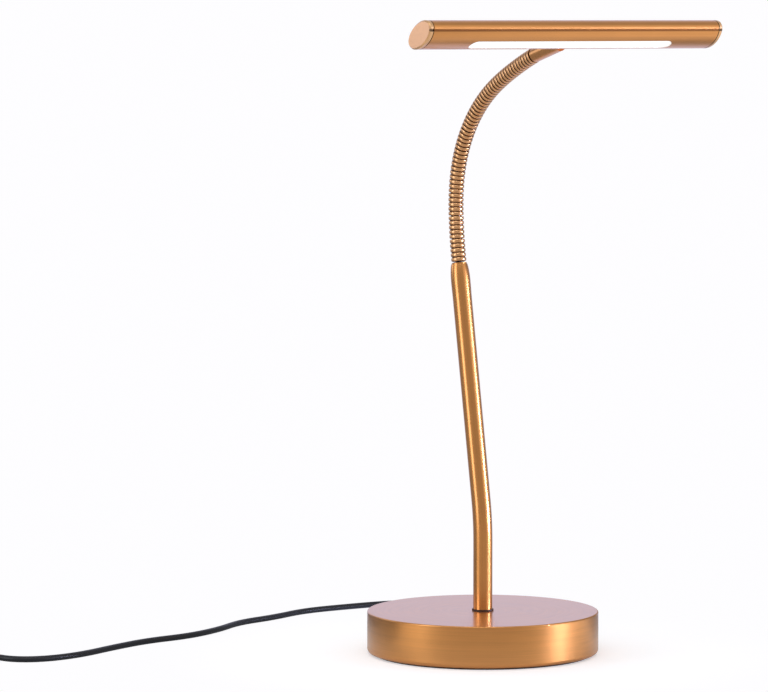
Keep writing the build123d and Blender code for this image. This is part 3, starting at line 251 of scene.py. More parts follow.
def room(finish, x, y, z, near_camera=ROOM_FRONT, windows=SKY_WINDOWS):
    """The room's colour in a direction, for each kind of ray."""
    level = (x * x + y * y) ** 0.5
    ahead = (x * sin(VIEW_YAW) + y * cos(VIEW_YAW)) / level
    right = (x * cos(VIEW_YAW) - y * sin(VIEW_YAW)) / level
    around = finish.mix(ahead.ramp(*SIDES_START), near_camera, ROOM_SIDES)
    for bearing, starts, ends, colour in windows:
        window = right * sin(bearing) - ahead * cos(bearing)
        around = finish.mix(window.ramp(starts, ends), around, colour)
    around = finish.mix(ahead.ramp(*BACK_START), around, ROOM_BACK)
    mirrored = finish.mix(z.ramp(*OVERHEAD_START), around, ROOM_ABOVE)
    seen = finish.node("ShaderNodeLightPath", output="Is Camera Ray")
    through = finish.node("ShaderNodeLightPath", output="Is Transmission Ray")
    glossy = finish.node("ShaderNodeLightPath", output="Is Glossy Ray")
    matt = finish.mix(glossy, [ROOM_LIGHT] * 3, mirrored)
    return finish.mix(seen.math("MAXIMUM", seen, through), matt, BACKGROUND)


def studio_sky():
    """The world: white to the camera."""
    world = bpy.data.worlds.new("sky")
    bpy.context.scene.world = world
    sky = Finish("sky", world)
    x, y, z = sky.split(sky.node("ShaderNodeTexCoord", output="Generated"))
    glow = sky.node("ShaderNodeBackground", None, {"Color": room(sky, x, y, z)})
    sky.node("ShaderNodeOutputWorld", None, {"Surface": glow})


studio_sky()
print("sky ready")

# %% The table
TABLE_SIZE = 30.0
PAPER = (0.74, 0.74, 0.75)
TABLE_FRONT = (0.46, 0.42, 0.38)  # what metal sees of the table towards the camera
PAPER_LIFT = 0.46  # what the paper adds for the camera, so that it looks white under the lamps
PAPER_NEAR = 0.09  # out to here the table is paper, and catches the lamp's shadow
PAPER_FAR = 0.22  # from here on it is the room's own white


def table_paper():
    """Paper near the lamp, and the room's white further out."""
    finish = Finish("table_paper")
    x, y, z = finish.split(finish.place())
    away = (x * x + y * y) ** 0.5
    seen = finish.node("ShaderNodeLightPath", output="Is Camera Ray")
    through = finish.node("ShaderNodeLightPath", output="Is Transmission Ray")
    paper = finish.node("ShaderNodeBsdfDiffuse", None, {"Color": PAPER})
    lift = {"Color": BACKGROUND, "Strength": (seen + through) * PAPER_LIFT}
    lifted = finish.node("ShaderNodeEmission", None, lift)
    near = finish.node("ShaderNodeAddShader", None, {0: paper, 1: lifted})
    around = room(finish, x, y, z, TABLE_FRONT, TABLE_WINDOWS)
    far = finish.node("ShaderNodeEmission", None, {"Color": around})
    share = away.ramp(PAPER_NEAR, PAPER_FAR)
    both = finish.node("ShaderNodeMixShader", None, {0: share, 1: near, 2: far})
    finish.node("ShaderNodeOutputMaterial", None, {"Surface": both})
    return finish.owner


sheet = bmesh.new()
bmesh.ops.create_grid(sheet, x_segments=1, y_segments=1, size=TABLE_SIZE / 2)
table_mesh = bpy.data.meshes.new("table")
sheet.to_mesh(table_mesh)
sheet.free()
table_mesh.materials.append(table_paper())
table = new_object("table", table_mesh)
print("table:", TABLE_SIZE, "m across")

# %% [markdown]
# ## The lamps of the studio
# Each soft light is a rectangle that faces the lamp. Its bearing is counted from the camera's
# side, so the bands that it draws on the brass keep their places if the camera is moved.

# %% Soft lights
WHITE = (1.0, 1.0, 1.0)
SOFT_LIGHTS = {
    # name: bearing from the camera (right is positive), its height and distance, the height it
    # is aimed at, its own width and height, how far its light spreads in degrees, watts, tint
    "key_light": (82, 0.12, 1.5, 0.07, 0.42, 0.60, 17, 0.31, (0.96, 1.0, 1.5)),
    "fill_light": (-58, 0.60, 1.7, 0.20, 0.65, 1.3, 180, 4.6, (0.95, 1.0, 1.15)),
    "top_light": (-6, 1.95, 1.05, 0.20, 1.5, 0.9, 180, 7.0, WHITE),
    "side_light": (-112, 0.58, 1.6, 0.20, 0.8, 0.5, 180, 1.3, WHITE),
}


def soft_light(name, bearing, height, distance, aim, width, tall, spread, watts, tint):
    """A rectangular soft light that faces the lamp's axis."""
    light = bpy.data.lights.new(name, "AREA")
    light.shape = "RECTANGLE"
    light.size = width
    light.size_y = tall
    light.spread = radians(spread)
    light.energy = watts
    light.color = tint
    made = new_object(name, light)
    turn = VIEW_YAW - radians(bearing)
    made.location = (-distance * sin(turn), -distance * cos(turn), height)
    towards = Vector((0, 0, aim)) - made.location
    made.rotation_euler = towards.to_track_quat("-Z", "Y").to_euler()


for name, facts in SOFT_LIGHTS.items():
    soft_light(name, *facts)
print("soft lights:", len(SOFT_LIGHTS))

# %% [markdown]
# ## Black vinyl
# The cord's jacket is smooth black vinyl with a cool sheen. It picks up a little dust, so its
# roughness wanders, and a slow ripple keeps a long reflection from looking ruled.


# %% Cord and plastic finishes
def vinyl(name, colour, roughness, grain):
    """Moulded or extruded vinyl: a soft ripple and a fine grain."""
    finish = Finish(name)
    place = finish.place()
    ripple = finish.noise(place, 90.0, 2.0)
    fine = finish.noise(place, 1400.0, 2.0)
    tone = finish.mix(ripple, [c * 0.8 for c in colour], [c * 1.25 for c in colour])
    height = ripple * 0.6 + fine * 0.4
    return finish.surface({
        "Base Color": tone,
        "Roughness": roughness - 0.06 + ripple * 0.12,
        "Specular IOR Level": 0.5,
        "Normal": finish.bump(height, grain, 0.0004),
    })


CORD_BLACK = (0.010, 0.012, 0.018)
cord_vinyl = vinyl("cord_vinyl", CORD_BLACK, 0.40, 0.25)
moulded_vinyl = vinyl("moulded_vinyl", (0.02, 0.022, 0.028), 0.42, 0.5)
switch_plastic = vinyl("switch_plastic", (0.018, 0.019, 0.022), 0.5, 0.7)
rocker_plastic = vinyl("rocker_plastic", (0.012, 0.012, 0.014), 0.22, 0.1)
print("vinyls ready")

# %% [markdown]
# ## The cord
# The cord leaves the boot at the base's back, drops to the table, wanders round behind the base
# and away to the left, where a rocker switch sits on it. Beyond the switch the rest is wound
# into a neat coil of two layers, and ends in its plug. Each stretch is one smooth NURBS curve
# whose control points are the route, so it lies as a real cord does. The coil's turns are worked
# out by a loop: in along the table, up over one turn, and out again on top.

# %% The cord's two stretches
CORD_DIAMETER = 0.004
CORD_ROUTE = [
    (0, 0.101, 0.009),
    (0, 0.121, 0.009),
    (0.011, 0.146, 0.0021),
    (0.036, 0.160, 0.0021),
    (0.066, 0.162, 0.0021),
    (0.092, 0.175, 0.0021),
    (0.095, 0.202, 0.0021),
    (0.069, 0.216, 0.0021),
    (0.034, 0.2175, 0.0021),
    (-0.004, 0.216, 0.0021),
    (-0.038, 0.200, 0.0021),
    (-0.070, 0.192, 0.0021),
    (-0.098, 0.171, 0.0021),
    (-0.130, 0.156, 0.0021),
    (-0.164, 0.152, 0.0021),
    (-0.196, 0.139, 0.0021),
    (-0.228, 0.123, 0.0021),
    (-0.256, 0.118, 0.0021),
    (-0.275, 0.126, 0.0021),
    (-0.283, 0.143, 0.0026),
    (-0.287, 0.161, 0.006),
    (-0.287, 0.178, 0.006),
]
LINK_ROUTE = [(-0.287, 0.230, 0.006), (-0.287, 0.246, 0.006), (-0.2848, 0.265, 0.0028)]
TAIL_ROUTE = [(-0.344, 0.2677, 0.0063), (-0.3425, 0.252, 0.0075), (-0.3425, 0.236, 0.0075)]
COIL_CENTRE = (-0.314, 0.273)
COIL_OUTER_TURN = 0.0305
COIL_PITCH = 0.00405  # one turn lies this far from the next
COIL_FLOOR = 0.0021
COIL_START = radians(-8)
COIL_LAYER_TURNS = 3.26
POINTS_PER_TURN = 24


def coil_points():
    """The coil's turns: in along the table, up over one turn, and out on top."""
    inner = COIL_OUTER_TURN - COIL_LAYER_TURNS * COIL_PITCH
    points = []
    whole = 2 * COIL_LAYER_TURNS + 1
    for step in range(1, round(whole * POINTS_PER_TURN)):
        turn = step / POINTS_PER_TURN
        rise = min(max(turn - COIL_LAYER_TURNS, 0.0), 1.0)
        if rise == 0.0:
            radius = COIL_OUTER_TURN - turn * COIL_PITCH
        elif rise < 1.0:
            beside = inner + (1.0 - rise) * COIL_PITCH
            radius = beside - COIL_PITCH * sqrt(1.0 - rise * rise)
        else:
            radius = inner + (turn - COIL_LAYER_TURNS - 1.0) * COIL_PITCH
        angle = COIL_START + 2 * pi * turn
        points.append((
            COIL_CENTRE[0] + radius * cos(angle),
            COIL_CENTRE[1] + radius * sin(angle),
            COIL_FLOOR + rise * COIL_PITCH,
        ))
    return points


def cord_curve(name, points):
    """A smooth cord along a route's points."""
    curve = bpy.data.curves.new(name, "CURVE")
    curve.dimensions = "3D"
    curve.bevel_depth = CORD_DIAMETER / 2
    curve.bevel_resolution = 5
    curve.use_fill_caps = True
    spline = curve.splines.new("NURBS")
    spline.points.add(len(points) - 1)
    for point, place in zip(spline.points, points):
        point.co = (*place, 1)
    spline.order_u = 3
    spline.use_endpoint_u = True
    spline.resolution_u = 6
    curve.materials.append(cord_vinyl)
    cord = new_object(name, curve)
    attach(cord, "base")
    return cord


mains_cord = cord_curve("mains_cord", CORD_ROUTE)
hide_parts("cord_lead")
plug_cord = cord_curve("plug_cord", LINK_ROUTE + coil_points() + TAIL_ROUTE)
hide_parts("cord_link", "cord_coil", "cord_tail")
print("cord points:", len(CORD_ROUTE), "and", len(plug_cord.data.splines[0].points))

# %% [markdown]
# ## Brushed brass
# All of the lamp's brass is brushed, browned a little and lacquered. The metal gives a warm,
# saturated reflection, and the clear lacquer over it adds a colourless one that grows at a low
# angle: that is why the base's top looks lilac-grey and the pole's edges go pale. Each piece is
# brushed the way it was made: the base in rings on a lathe, the pole and the head along their
# length. The brush lines are noise that is stretched along the stroke. They shift the colour,
# and tilt the normal very slightly.

# %% The strokes of the brush
FINE_LINES = 1500.0  # lines per metre
BROAD_LINES = 420.0
STROKE_CHANGES = 3.0  # how often a line changes along its length, per metre
RING_CHANGES = 2.0  # how much a ring's line changes on its way round
RING_SLANT = 0.7  # slope of the line across which each ring mirrors itself
RING_EYE = 0.001  # keeps the middle from being divided by nothing
POLE_BEND_HEIGHT = 0.0866
POLE_LEAN = radians(9.67)  # back from upright, above the bend


def along_head(finish, lines):
    """Lines along X."""
    x, y, z = finish.split(finish.place())
    return finish.join(x * STROKE_CHANGES, y * lines, z * lines)


def in_rings(finish, lines):
    """Lines round the Z axis."""
    x, y, z = finish.split(finish.place())
    radius = (x * x + y * y) ** 0.5
    around = (x + y * RING_SLANT) / (radius + RING_EYE)
    return finish.join(radius * lines, z * lines, around * RING_CHANGES)


def up_pole(finish, lines):
    """Lines along the pole, which leans back above its bend."""
    x, y, z = finish.split(finish.place())
    lean = z.math("MAXIMUM", z - POLE_BEND_HEIGHT, 0.0) * tan(POLE_LEAN)
    return finish.join(x * lines, (y - lean) * lines, z * STROKE_CHANGES)


def no_stroke(finish, lines):
    """An even cloud, as on a polished face."""
    x, y, z = finish.split(finish.place())
    return finish.join(x * lines, y * lines, z * lines)


# %% Brass finishes
BRASS = (0.82, 0.37, 0.11)
ROSE_BRASS = (0.90, 0.50, 0.28)
LACQUER = {"Coat Weight": 0.7, "Coat Roughness": 0.16, "Coat IOR": 1.5}
BRUSH_DEPTH = 0.00005
CLOUDS = 45.0  # patches per metre where the metal has browned


def brass(name, stroke, roughness, bump, spread, tone=BRASS, detail=None):
    """Lacquered brass, brushed along a stroke."""
    finish = Finish(name)
    fine = finish.noise(stroke(finish, FINE_LINES), 1.0, 3.0, 0.6)
    broad = finish.noise(stroke(finish, BROAD_LINES), 1.0, 2.0, 0.5)
    cloud = finish.noise(finish.place(), CLOUDS, 3.0)
    shade = (fine * 0.35 + broad * 0.45 + cloud * 0.2).ramp(0.3, 0.7)
    dark = [c * (1 - spread) for c in tone]
    pale = [min(c * (1 + spread), 1.0) for c in tone]
    colour = finish.mix(shade, dark, pale)
    rough = roughness - 0.06 + fine * 0.08 + cloud * 0.04
    if detail:
        colour, rough = detail(finish, colour, rough)
    return finish.surface({
        "Base Color": colour,
        "Metallic": 1.0,
        "Roughness": rough,
        "Normal": finish.bump(fine * 0.6 + broad * 0.4, bump, BRUSH_DEPTH),
        **LACQUER,
    })


print("brushed brass ready")

# %% [markdown]
# ## Painted shade and highlights on the head
# A finish isn't the same up to its edges, and here light and shade are painted in as well. Painted
# shade, dark brown, runs along the groove between the head's two shells. A painted highlight, pale
# and nearly white, runs along the slot's lower edge. The bevel round each end cap gets a painted
# highlight in brighter gold, with painted shade, near black, in the groove behind it and where it
# crosses a seam.

# %% The head's seams and edges
upper_low, upper_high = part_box("upper_shell")
lower_low, lower_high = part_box("lower_shell")
SEAMS = [(lower_low.y, lower_high.z), (lower_high.y, upper_low.z)]  # front and rear, across X
# Painted shade: dark brown along the groove between the head's two shells.
SEAM_SHADE = (0.34, 0.13, 0.03)
# Painted shade: near black in the groove behind each cap's face and at the notches on the seams.
CAP_SHADE_BLACK = (0.03, 0.012, 0.004)
# Painted highlight: a brighter gold on each cap's bevel.
BEVEL_HIGHLIGHT = (1.0, 0.62, 0.32)
EDGE_ROUGHNESS = 0.45
CAP_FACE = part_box("end_cap_right")[1].x
CAP_EDGE = 0.0001  # the bevel starts this far behind the cap's face
CAP_THICKNESS = 0.0028
SHELL_SEAM = 0.0013  # how far the brown reaches from a seam
CAP_NOTCH = 0.0012
SEAM_CORE = 0.4  # the share of that reach that is fully dark
# Painted highlight: a pale, nearly white line along the slot's lower edge, beside the glowing
# window.
SLOT_LIP_HIGHLIGHT = (0.92, 0.88, 0.86)
LIP_HIGHLIGHT_REACH = (0.0001, 0.0003)  # from the slot's outline: where the painted highlight is whole, and where it has faded out
LOWER_SIDE = (-0.002, 0.0)  # heights over the head's middle: the painted highlight is whole below them, and never above
HEAD_ROLL = radians(26.5)  # front edge up
HEAD_CENTRE = (upper_low + upper_high) / 2
HEAD_CENTRE.z = (lower_low.z + upper_high.z) / 2
SLOT_HALF_WIDTH = 0.0047
SLOT_STRAIGHT = 0.07155  # from the slot's middle to where its round ends start


def near_seams(finish, radius):
    """1 on the head's two seams, and 0 beyond a radius of both."""
    x, y, z = finish.split(finish.place())
    shares = []
    for seam_y, seam_z in SEAMS:
        aside, above = y - seam_y, z - seam_z
        away = (aside * aside + above * above) ** 0.5
        shares.append(1.0 - away.ramp(radius * SEAM_CORE, radius))
    return shares[0] + shares[1]


def shell_edges(finish, colour, rough):
    """Painted shade, dark brown, along the groove between the shells, and a painted pale highlight
    along the slot's lower edge.
    """
    x, y, z = finish.split(finish.place())
    fore, up = y - HEAD_CENTRE.y, z - HEAD_CENTRE.z
    across = up * sin(HEAD_ROLL) - fore * cos(HEAD_ROLL)
    under = up * cos(HEAD_ROLL) + fore * sin(HEAD_ROLL)
    beyond = x.math("ABSOLUTE", x)
    beyond = beyond.math("MAXIMUM", beyond - SLOT_STRAIGHT, 0.0)
    slot = (across * across + beyond * beyond) ** 0.5 - SLOT_HALF_WIDTH
    cut = slot.math("ABSOLUTE", slot)
    # Painted highlight along the slot's lower edge.
    lip_highlight = (1.0 - cut.ramp(*LIP_HIGHLIGHT_REACH)) * (1.0 - under.ramp(*LOWER_SIDE))
    colour = finish.mix(lip_highlight, colour, SLOT_LIP_HIGHLIGHT)
    # Painted shade, dark brown, along both seams.
    return finish.mix(near_seams(finish, SHELL_SEAM), colour, SEAM_SHADE), rough


def cap_edge(finish, colour, rough):
    """Paints a highlight in brighter gold on the bevel round a cap's face, and painted shade, near
    black, behind it and at its two notches.
    """
    x, y, z = finish.split(finish.place())
    behind = CAP_FACE - x.math("ABSOLUTE", x)
    edge = behind.ramp(CAP_EDGE, 2 * CAP_EDGE)
    rough = rough + (EDGE_ROUGHNESS - rough) * edge
    # Painted highlight: brighter gold on the bevel.
    gold = finish.mix(edge, colour, BEVEL_HIGHLIGHT)
    # Painted shade, near black, in the groove behind the cap's face.
    gold = finish.mix(behind.ramp(CAP_THICKNESS - CAP_EDGE, CAP_THICKNESS), gold, CAP_SHADE_BLACK)
    # Painted shade, near black, at the notches on the seams.
    return finish.mix(near_seams(finish, CAP_NOTCH), gold, CAP_SHADE_BLACK), rough


print("seams at", [(round(y, 4), round(z, 4)) for y, z in SEAMS])

# %% The brass of each piece
shell_brass = brass("shell_brass", along_head, 0.33, 0.08, 0.10, detail=shell_edges)
spun_brass = brass("spun_brass", in_rings, 0.30, 0.20, 0.07)
pole_brass = brass("pole_brass", up_pole, 0.28, 0.03, 0.06)
cap_brass = brass("cap_brass", no_stroke, 0.30, 0.05, 0.03, ROSE_BRASS, cap_edge)
polished_brass = brass("polished_brass", no_stroke, 0.34, 0.03, 0.05)
print("brass finishes ready")

# %% [markdown]
# ## The ribbed neck
# A gooseneck is a spring tube: round steel wire with a second wire pressed into its grooves, so
# its outside is a row of rounded ribs with dark, narrow grooves between them. The frame cuts it
# into twelve short links with a hinge between each two. Each link is made straight, as a lathe
# would turn it, and then bent on an arc whose ends meet its neighbours' without a kink. A thin
# sleeve inside each link reaches into the next one, so that no light shows when a hinge turns.

# %% Where the links are
LINKS = 12
RIBS_PER_LINK = 5
neck_hinges = [joint for joint in frame["joints"] if joint["name"].startswith("neck")]
hinge_places = [Vector(joint["pos_m"]) for joint in neck_hinges]


class Arc:
    """A link's centre line: it starts at a place with a lean, and turns towards the player."""

    def __init__(self, start, end, lean):
        chord = end - start
        self.start = start
        self.lean = lean
        self.turn = 2 * (atan2(-chord.y, chord.z) - lean)
        self.length = chord.length * (self.turn / 2) / sin(self.turn / 2)

    def carry(self, point):
        """Takes a point of a straight piece, which stands on Z = 0, to its place on the arc."""
        radius = self.length / self.turn
        lean = self.lean + self.turn * point.z / self.length
        y = radius * (cos(lean) - cos(self.lean)) + point.y * cos(lean)
        z = radius * (sin(lean) - sin(self.lean)) + point.y * sin(lean)
        return self.start + Vector((point.x, y, z))


arcs = []
lean = -POLE_LEAN
for start, end in zip(hinge_places, hinge_places[1:]):
    arcs.append(Arc(start, end, lean))
    lean += arcs[-1].turn
print("links:", len(arcs), "of", [round(arc.length * 1000, 2) for arc in arcs], "mm")

# %% Turned pieces
AROUND = 48  # steps round a small turned piece
SAME_PLACE = 1e-6
SHARP = radians(35)


def turned(profile, steps=AROUND):
    """A bmesh that is turned about Z from a closed outline of (radius, height) points."""
    piece = bmesh.new()
    outline = [piece.verts.new((radius, 0, height)) for radius, height in profile]
    for first, second in zip(outline, outline[1:] + outline[:1]):
        piece.edges.new((first, second))
    bmesh.ops.spin(
        piece,
        geom=piece.verts[:] + piece.edges[:],
        cent=(0, 0, 0),
        axis=(0, 0, 1),
        dvec=(0, 0, 0),
        angle=2 * pi,
        steps=steps,
        use_merge=True,
    )
    bmesh.ops.remove_doubles(piece, verts=piece.verts[:], dist=SAME_PLACE)
    bmesh.ops.recalc_face_normals(piece, faces=piece.faces[:])
    return piece


def finished(piece, name, material, body, stands_for=()):
    """Makes a bmesh an object of the lamp, smooth except at its sharp edges."""
    for face in piece.faces:
        face.smooth = True
    for edge in piece.edges:
        edge.smooth = len(edge.link_faces) == 2 and edge.calc_face_angle() < SHARP
    mesh = bpy.data.meshes.new(name)
    piece.to_mesh(mesh)
    piece.free()
    mesh.materials.append(material)
    made = new_object(name, mesh)
    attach(made, body)
    if stands_for:
        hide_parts(*stands_for)
    return made


print("turning helpers ready")

# %% Finish of the ribs
RIB_TAN = (0.92, 0.51, 0.24)
# Painted shade: dark brown where the grooves between the ribs are in shadow.
GROOVE_SHADE = (0.14, 0.045, 0.005)


def rib_finish():
    """Tan on the crests, and painted shade, dark brown, in the grooves."""
    finish = Finish("neck_brass")
    height = finish.node("ShaderNodeAttribute", {"attribute_name": "rib_height"}, output="Fac")
    cloud = finish.noise(finish.place(), 260.0, 3.0)
    crest = (height + (cloud - 0.5) * 0.25).ramp(0.25, 0.85)
    return finish.surface({
        # Painted shade: the colour darkens towards the grooves.
        "Base Color": finish.mix(crest, GROOVE_SHADE, RIB_TAN),
        "Metallic": 1.0,
        "Roughness": 0.48 - crest * 0.18,
        "Normal": finish.bump(cloud, 0.1, 0.0001),
        **LACQUER,
    })


neck_brass = rib_finish()
print("ribs ready")

# %% The links
RIB_CREST = 0.0050
RIB_ROOT = 0.0043
RIB_SHARE = 0.76  # of the pitch, the rest is groove
RIB_STEPS = 9
RIB_FULLNESS = 0.5  # under 1 is fuller than a sine's hump
LINK_GAP = 0.0006  # between one link's core and the next, so that a hinge can turn
SLEEVE_OUTSIDE = 0.0035
SLEEVE_INSIDE = 0.0027
SLEEVE_REACH = 0.0013  # into the next link
NECK_BORE_RADIUS = 0.0038
SLEEVE_SEAT = 0.0040  # how far back the sleeve starts inside its own link


def rib_profile(length):
    """The outline of half a link's section: ribs outside, a bore, and the sleeve at its end."""
    pitch = length / RIBS_PER_LINK
    rib = pitch * RIB_SHARE
    outline = []
    for number in range(RIBS_PER_LINK):
        low = number * pitch + (pitch - rib) / 2
        outline.append((RIB_ROOT, max(number * pitch, LINK_GAP / 2)))
        for step in range(RIB_STEPS + 1):
            angle = pi * step / RIB_STEPS
            radius = RIB_ROOT + (RIB_CREST - RIB_ROOT) * sin(angle) ** RIB_FULLNESS
            outline.append((radius, low + rib * (1 - cos(angle)) / 2))
    outline += [
        (RIB_ROOT, length - LINK_GAP / 2),
        (SLEEVE_OUTSIDE, length - LINK_GAP / 2),
        (SLEEVE_OUTSIDE, length + SLEEVE_REACH),
        (SLEEVE_INSIDE, length + SLEEVE_REACH),
        (SLEEVE_INSIDE, length - SLEEVE_SEAT),
        (NECK_BORE_RADIUS, length - SLEEVE_SEAT),
        (NECK_BORE_RADIUS, LINK_GAP / 2),
    ]
    return outline


def neck_link(number, arc):
    """One link, turned straight and then bent on its arc."""
    link = turned(rib_profile(arc.length))
    layer = link.verts.layers.float.new("rib_height")
    for vertex in link.verts:
        radius = Vector((vertex.co.x, vertex.co.y)).length
        vertex[layer] = (radius - RIB_ROOT) / (RIB_CREST - RIB_ROOT)
        vertex.co = arc.carry(vertex.co)
    name = f"{number:02d}"
    return finished(
        link, "neck_ribs_" + name, neck_brass, "neck_" + name, ["neck_link_" + name]
    )


neck_ribs = [neck_link(number, arc) for number, arc in enumerate(arcs, 1)]
rib_faces = sum(len(piece.data.polygons) for piece in neck_ribs)
print("neck links:", len(neck_ribs), "with", rib_faces, "faces")

# %% [markdown]
# ## The lead inside
# A round two-core lead runs from the base up the pole and the neck to the lights. It is out of
# sight, but it has to bend with the neck, so it is cut where the hinges are: one length in the
# pole, one in each link and one in the head's fitting.

# %% The lead's lengths
LEAD_RADIUS = 0.0015
LEAD_SIDES = 16
LEAD_CUTS = 4  # rings along each short length, so that it can bend
LEAD_END_PLAY = 0.0002  # between one length and the next
FERRULE_LEAN = radians(75)  # the head's fitting, from upright towards the player
lead_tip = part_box("lamp_lead")[0].y  # its end inside the head


def lead_length(length):
    """A short straight length of lead, upright from the origin."""
    lead = bmesh.new()
    bmesh.ops.create_cone(
        lead,
        cap_ends=True,
        segments=LEAD_SIDES,
        radius1=LEAD_RADIUS,
        radius2=LEAD_RADIUS,
        depth=length - 2 * LEAD_END_PLAY,
    )
    bmesh.ops.translate(lead, verts=lead.verts[:], vec=(0, 0, length / 2))
    for cut in range(1, LEAD_CUTS + 1):
        height = length * cut / (LEAD_CUTS + 1)
        everything = lead.verts[:] + lead.edges[:] + lead.faces[:]
        bmesh.ops.bisect_plane(lead, geom=everything, plane_co=(0, 0, height), plane_no=(0, 0, 1))
    return lead


for number, arc in enumerate(arcs, 1):
    lead = lead_length(arc.length)
    for vertex in lead.verts:
        vertex.co = arc.carry(vertex.co)
    name = f"{number:02d}"
    finished(lead, "lead_in_link_" + name, cord_vinyl, "neck_" + name, ["lamp_lead"])

to_head = Matrix.Translation(hinge_places[-1]) @ Matrix.Rotation(FERRULE_LEAN, 4, "X")
reach = (hinge_places[-1].y - lead_tip - LEAD_RADIUS) / sin(FERRULE_LEAN)
lead = lead_length(reach)
bmesh.ops.transform(lead, matrix=to_head, verts=lead.verts[:])
finished(lead, "lead_in_head", cord_vinyl, "head", ["lamp_lead"])
print("lead in the head:", round(reach * 1000, 1), "mm")

# %% The lead up the pole
LEAD_HEIGHT = 0.0078  # over the table, where it leaves the driver
LEAD_CORNER = 0.004
driver_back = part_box("light_driver")[1].y
pole_lead = bpy.data.curves.new("lead_in_pole", "CURVE")
pole_lead.dimensions = "3D"
pole_lead.bevel_depth = LEAD_RADIUS
pole_lead.use_fill_caps = True
pole_run = pole_lead.splines.new("NURBS")
pole_points = [
    (0, driver_back, LEAD_HEIGHT),
    (0, -LEAD_CORNER, LEAD_HEIGHT),
    (0, 0, LEAD_HEIGHT),
    (0, 0, LEAD_HEIGHT + LEAD_CORNER),
    (0, 0, POLE_BEND_HEIGHT / 2),
    (0, 0, POLE_BEND_HEIGHT),
    (0, hinge_places[0].y / 2, (POLE_BEND_HEIGHT + hinge_places[0].z) / 2),
    tuple(hinge_places[0]),
]
pole_run.points.add(len(pole_points) - 1)
for point, place in zip(pole_run.points, pole_points):
    point.co = (*place, 1)
pole_run.order_u = 3
pole_run.use_endpoint_u = True
pole_lead.materials.append(cord_vinyl)
pole_lead_piece = new_object("lead_in_pole", pole_lead)
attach(pole_lead_piece, "base")
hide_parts("lamp_lead")
print("lead up the pole:", len(pole_points), "points")

# %% [markdown]
# ## The boot
# Where the cord leaves the base, a soft tapered boot keeps it from kinking. The moulder cuts
# rings into it, so that it bends in a smooth curve: stiff at the base and limp at its tip.

# %% The ribbed boot
BOOT_RADIUS = 0.0045
BOOT_TIP_RADIUS = 0.0028
BOOT_WAIST_RADIUS = 0.0035  # through the base's wall
BOOT_BORE_RADIUS = 0.0020
BOOT_FLANGE = 0.0020
BOOT_GROOVES = 5
GROOVE_WIDTH = 0.0014
GROOVE_DEPTH = 0.0009
BASE_RADIUS = 0.075
BOOT_AROUND = 40
BOOT_CORNER = radians(60)  # an edge that turns more than this is rounded
BOOT_ROUNDING = 0.00025
boot_low, boot_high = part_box("strain_relief")


def boot_profile():
    """The boot's outline from its inner flange to its tip, as (radius, distance back)."""
    start, end = boot_low.y, boot_high.y
    outline = [
        (BOOT_BORE_RADIUS, start),
        (BOOT_RADIUS, start),
        (BOOT_RADIUS, start + BOOT_FLANGE),
        (BOOT_WAIST_RADIUS, start + BOOT_FLANGE),
        (BOOT_WAIST_RADIUS, BASE_RADIUS),
        (BOOT_RADIUS, BASE_RADIUS),
        (BOOT_RADIUS, BASE_RADIUS + BOOT_FLANGE),
    ]
    taper = end - BASE_RADIUS - BOOT_FLANGE
    pitch = taper / (BOOT_GROOVES + 1)
    for number in range(1, BOOT_GROOVES + 1):
        middle = BASE_RADIUS + BOOT_FLANGE + number * pitch
        for side in (-1, 1):
            place = middle + side * GROOVE_WIDTH / 2
            share = (place - BASE_RADIUS - BOOT_FLANGE) / taper
            radius = BOOT_RADIUS + (BOOT_TIP_RADIUS - BOOT_RADIUS) * share
            pair = [(radius, place), (radius - GROOVE_DEPTH, place)]
            outline += pair if side < 0 else pair[::-1]
    return outline + [(BOOT_TIP_RADIUS, end), (BOOT_BORE_RADIUS, end)]


boot = turned(boot_profile(), BOOT_AROUND)
corners = [edge for edge in boot.edges if edge.is_manifold and edge.calc_face_angle() > BOOT_CORNER]
bmesh.ops.bevel(
    boot,
    geom=corners,
    offset=BOOT_ROUNDING,
    segments=2,
    affect="EDGES",
    profile=0.5,
    material=-1,
    clamp_overlap=True,
)
boot_height = (boot_low.z + boot_high.z) / 2
lay_back = Matrix.Translation((0, 0, boot_height)) @ Matrix.Rotation(-pi / 2, 4, "X")
bmesh.ops.transform(boot, matrix=lay_back, verts=boot.verts[:])
bmesh.ops.recalc_face_normals(boot, faces=boot.faces[:])
finished(boot, "cord_boot", moulded_vinyl, "base", ["strain_relief"])
print("boot:", round((boot_high.y - BASE_RADIUS) * 1000, 1), "mm out of the base")

# %% [markdown]
# ## The hidden pieces
# What is inside shows only when the lamp is taken apart, but each piece still gets the finish of
# its own material: rough iron, zinc-plated steel, mill aluminium, nylon, felt and circuit board.

# %% Finishes of the hidden pieces
def plain(name, colour, roughness, metallic, grain, bump, spread=0.15):
    """A surface with an even grain."""
    finish = Finish(name)
    fine = finish.noise(finish.place(), grain, 4.0)
    cloud = finish.noise(finish.place(), 60.0, 2.0)
    shade = fine * 0.5 + cloud * 0.5
    dark = [c * (1 - spread) for c in colour]
    pale = [min(c * (1 + spread), 1.0) for c in colour]
    return finish.surface({
        "Base Color": finish.mix(shade, dark, pale),
        "Metallic": metallic,
        "Roughness": roughness - 0.08 + cloud * 0.16,
        "Normal": finish.bump(fine, bump, 0.0003),
    })


